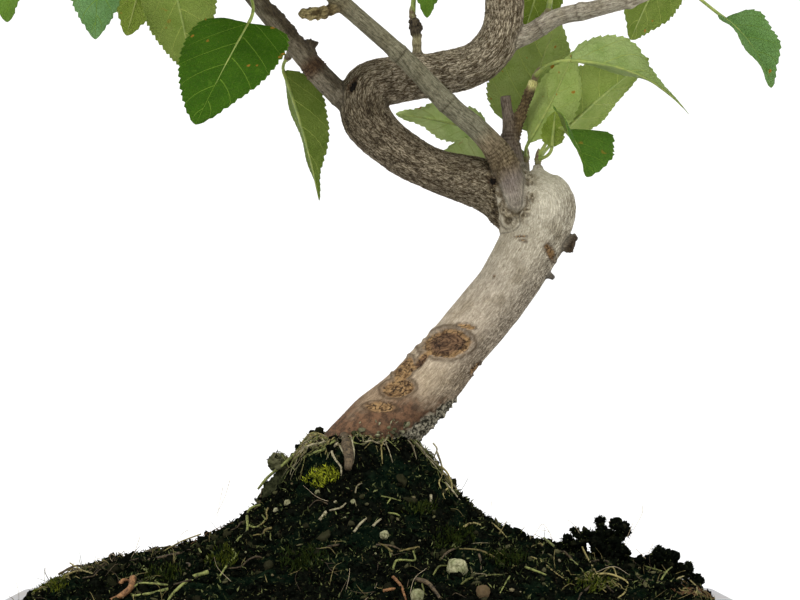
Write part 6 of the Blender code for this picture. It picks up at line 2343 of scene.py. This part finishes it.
def build_collar(ground):
    """Pale crumbly roots and shoots round the trunk's foot."""
    shape = Shape("tone")
    draw = ground.draw
    small = ball(1)
    trunk = smooth_run(FOOT_RUN, 8)
    for i in range(COLLAR_COUNT):
        turn = draw.uniform(0, 2 * math.pi)
        height = draw.gauss(COLLAR_HEIGHT, 3.2) + (9 * max(0, math.cos(turn)) + 3) * draw.random() ** 2
        centre, radius = min(trunk, key=lambda step: abs(step[0].z - height))
        out = Vector((math.cos(turn), math.sin(turn), 0))
        place = centre + out * (radius + draw.uniform(-0.3, 1.6) + 0.35 * max(0, COLLAR_HEIGHT - height))
        place.z = height
        if i % 2:
            way = (out + Vector((0, 0, 0.6)) + any_way(draw)).normalized()
            add_blade_of_moss(shape, draw, place, way, draw.uniform(1, 2.6), draw.uniform(0.2, 0.42),
                              (draw.random() ** 2, 0, 0))
        else:
            size = draw.uniform(0.35, 1.05)
            add_lump(shape, draw, small, place, size, 0.5, (0.8 * draw.random() ** 3, 0, 0))
    material = crumb_material("pale_crust", (0.014, 0.015, 0.008), (0.09, 0.088, 0.045), (0.5, 0.47, 0.3))
    return shape.piece("root_collar", [material], smooth=False)


def dress_soil(ground):
    build_crumbs(ground)
    build_moss(ground)
    build_tufts(ground)
    build_seeds(ground)
    build_strands(ground)
    build_hairs(ground)
    build_collar(ground)


def camera_and_light():
    scene = bpy.context.scene
    eye, ahead, _, _ = camera_axes()
    camera = bpy.data.cameras.new("photo_camera")
    camera.lens = CAMERA_LENS
    camera.sensor_width = SENSOR_WIDTH
    camera.clip_start = 0.01
    camera.clip_end = 50
    seen_by = bpy.data.objects.new("photo_camera", camera)
    seen_by.location = eye * MM
    seen_by.rotation_euler = ahead.to_track_quat("-Z", "Y").to_euler()
    scene.collection.objects.link(seen_by)
    scene.camera = seen_by
    scene.view_settings.view_transform = "Standard"
    scene.world = studio_world()
    for name, turn, strength, spread in SUNS:
        sun = bpy.data.lights.new(name, "SUN")
        sun.energy = strength
        sun.angle = math.radians(spread)
        lamp = bpy.data.objects.new(name, sun)
        lamp.rotation_euler = [math.radians(angle) for angle in turn]
        scene.collection.objects.link(lamp)


def studio_world():
    world = bpy.data.worlds.new("studio")
    world.use_nodes = True
    nodes = world.node_tree.nodes
    links = world.node_tree.links
    way = nodes.new("ShaderNodeTexCoord")
    parts = nodes.new("ShaderNodeSeparateXYZ")
    light = nodes.new("ShaderNodeMapRange")
    light.interpolation_type = "SMOOTHSTEP"
    sockets = ("From Min", "From Max", "To Min", "To Max")
    for socket, value in zip(sockets, (*WALL_TOP, WALL_LIGHT, CEILING_LIGHT)):
        light.inputs[socket].default_value = value
    links.new(way.outputs["Generated"], parts.inputs[0])
    links.new(parts.outputs[2], light.inputs["Value"])
    nodes["Background"].inputs["Color"].default_value = (1, 1, 1, 1)
    links.new(light.outputs[0], nodes["Background"].inputs["Strength"])
    return world


def build_floor():
    shader = Shader("pale_floor", 0.9, 0.1)
    place = shader.object_place()
    colour = shader.mix(shader.noise(place, 0.004, 2), (0.93, 0.93, 0.93), (0.96, 0.96, 0.96))
    shader.set(colour, "Base Color")
    ring = ring_of((0, 0, 0), Vector((0, 0, 1)), Vector((1, 0, 0)), FLOOR_RADIUS, FLOOR_SIDES)
    mesh = bpy.data.meshes.new("floor")
    mesh.from_pydata([p * MM for p in ring], [], [tuple(range(len(ring)))])
    mesh.materials.append(shader.material)
    floor = bpy.data.objects.new("floor", mesh)
    bpy.context.scene.collection.objects.link(floor)


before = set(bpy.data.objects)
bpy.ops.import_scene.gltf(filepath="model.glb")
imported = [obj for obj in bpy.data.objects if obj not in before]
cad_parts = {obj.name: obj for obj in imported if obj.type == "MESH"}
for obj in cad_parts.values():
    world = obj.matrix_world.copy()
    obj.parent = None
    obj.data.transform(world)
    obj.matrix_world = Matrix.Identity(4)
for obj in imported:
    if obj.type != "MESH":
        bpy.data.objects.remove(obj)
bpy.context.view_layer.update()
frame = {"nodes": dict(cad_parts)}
camera_and_light()
build_floor()
build_pot()
dress_screens(frame)
dress_soil(Ground([build_soil(), build_old_root()]))
build_wood()
build_leaves()
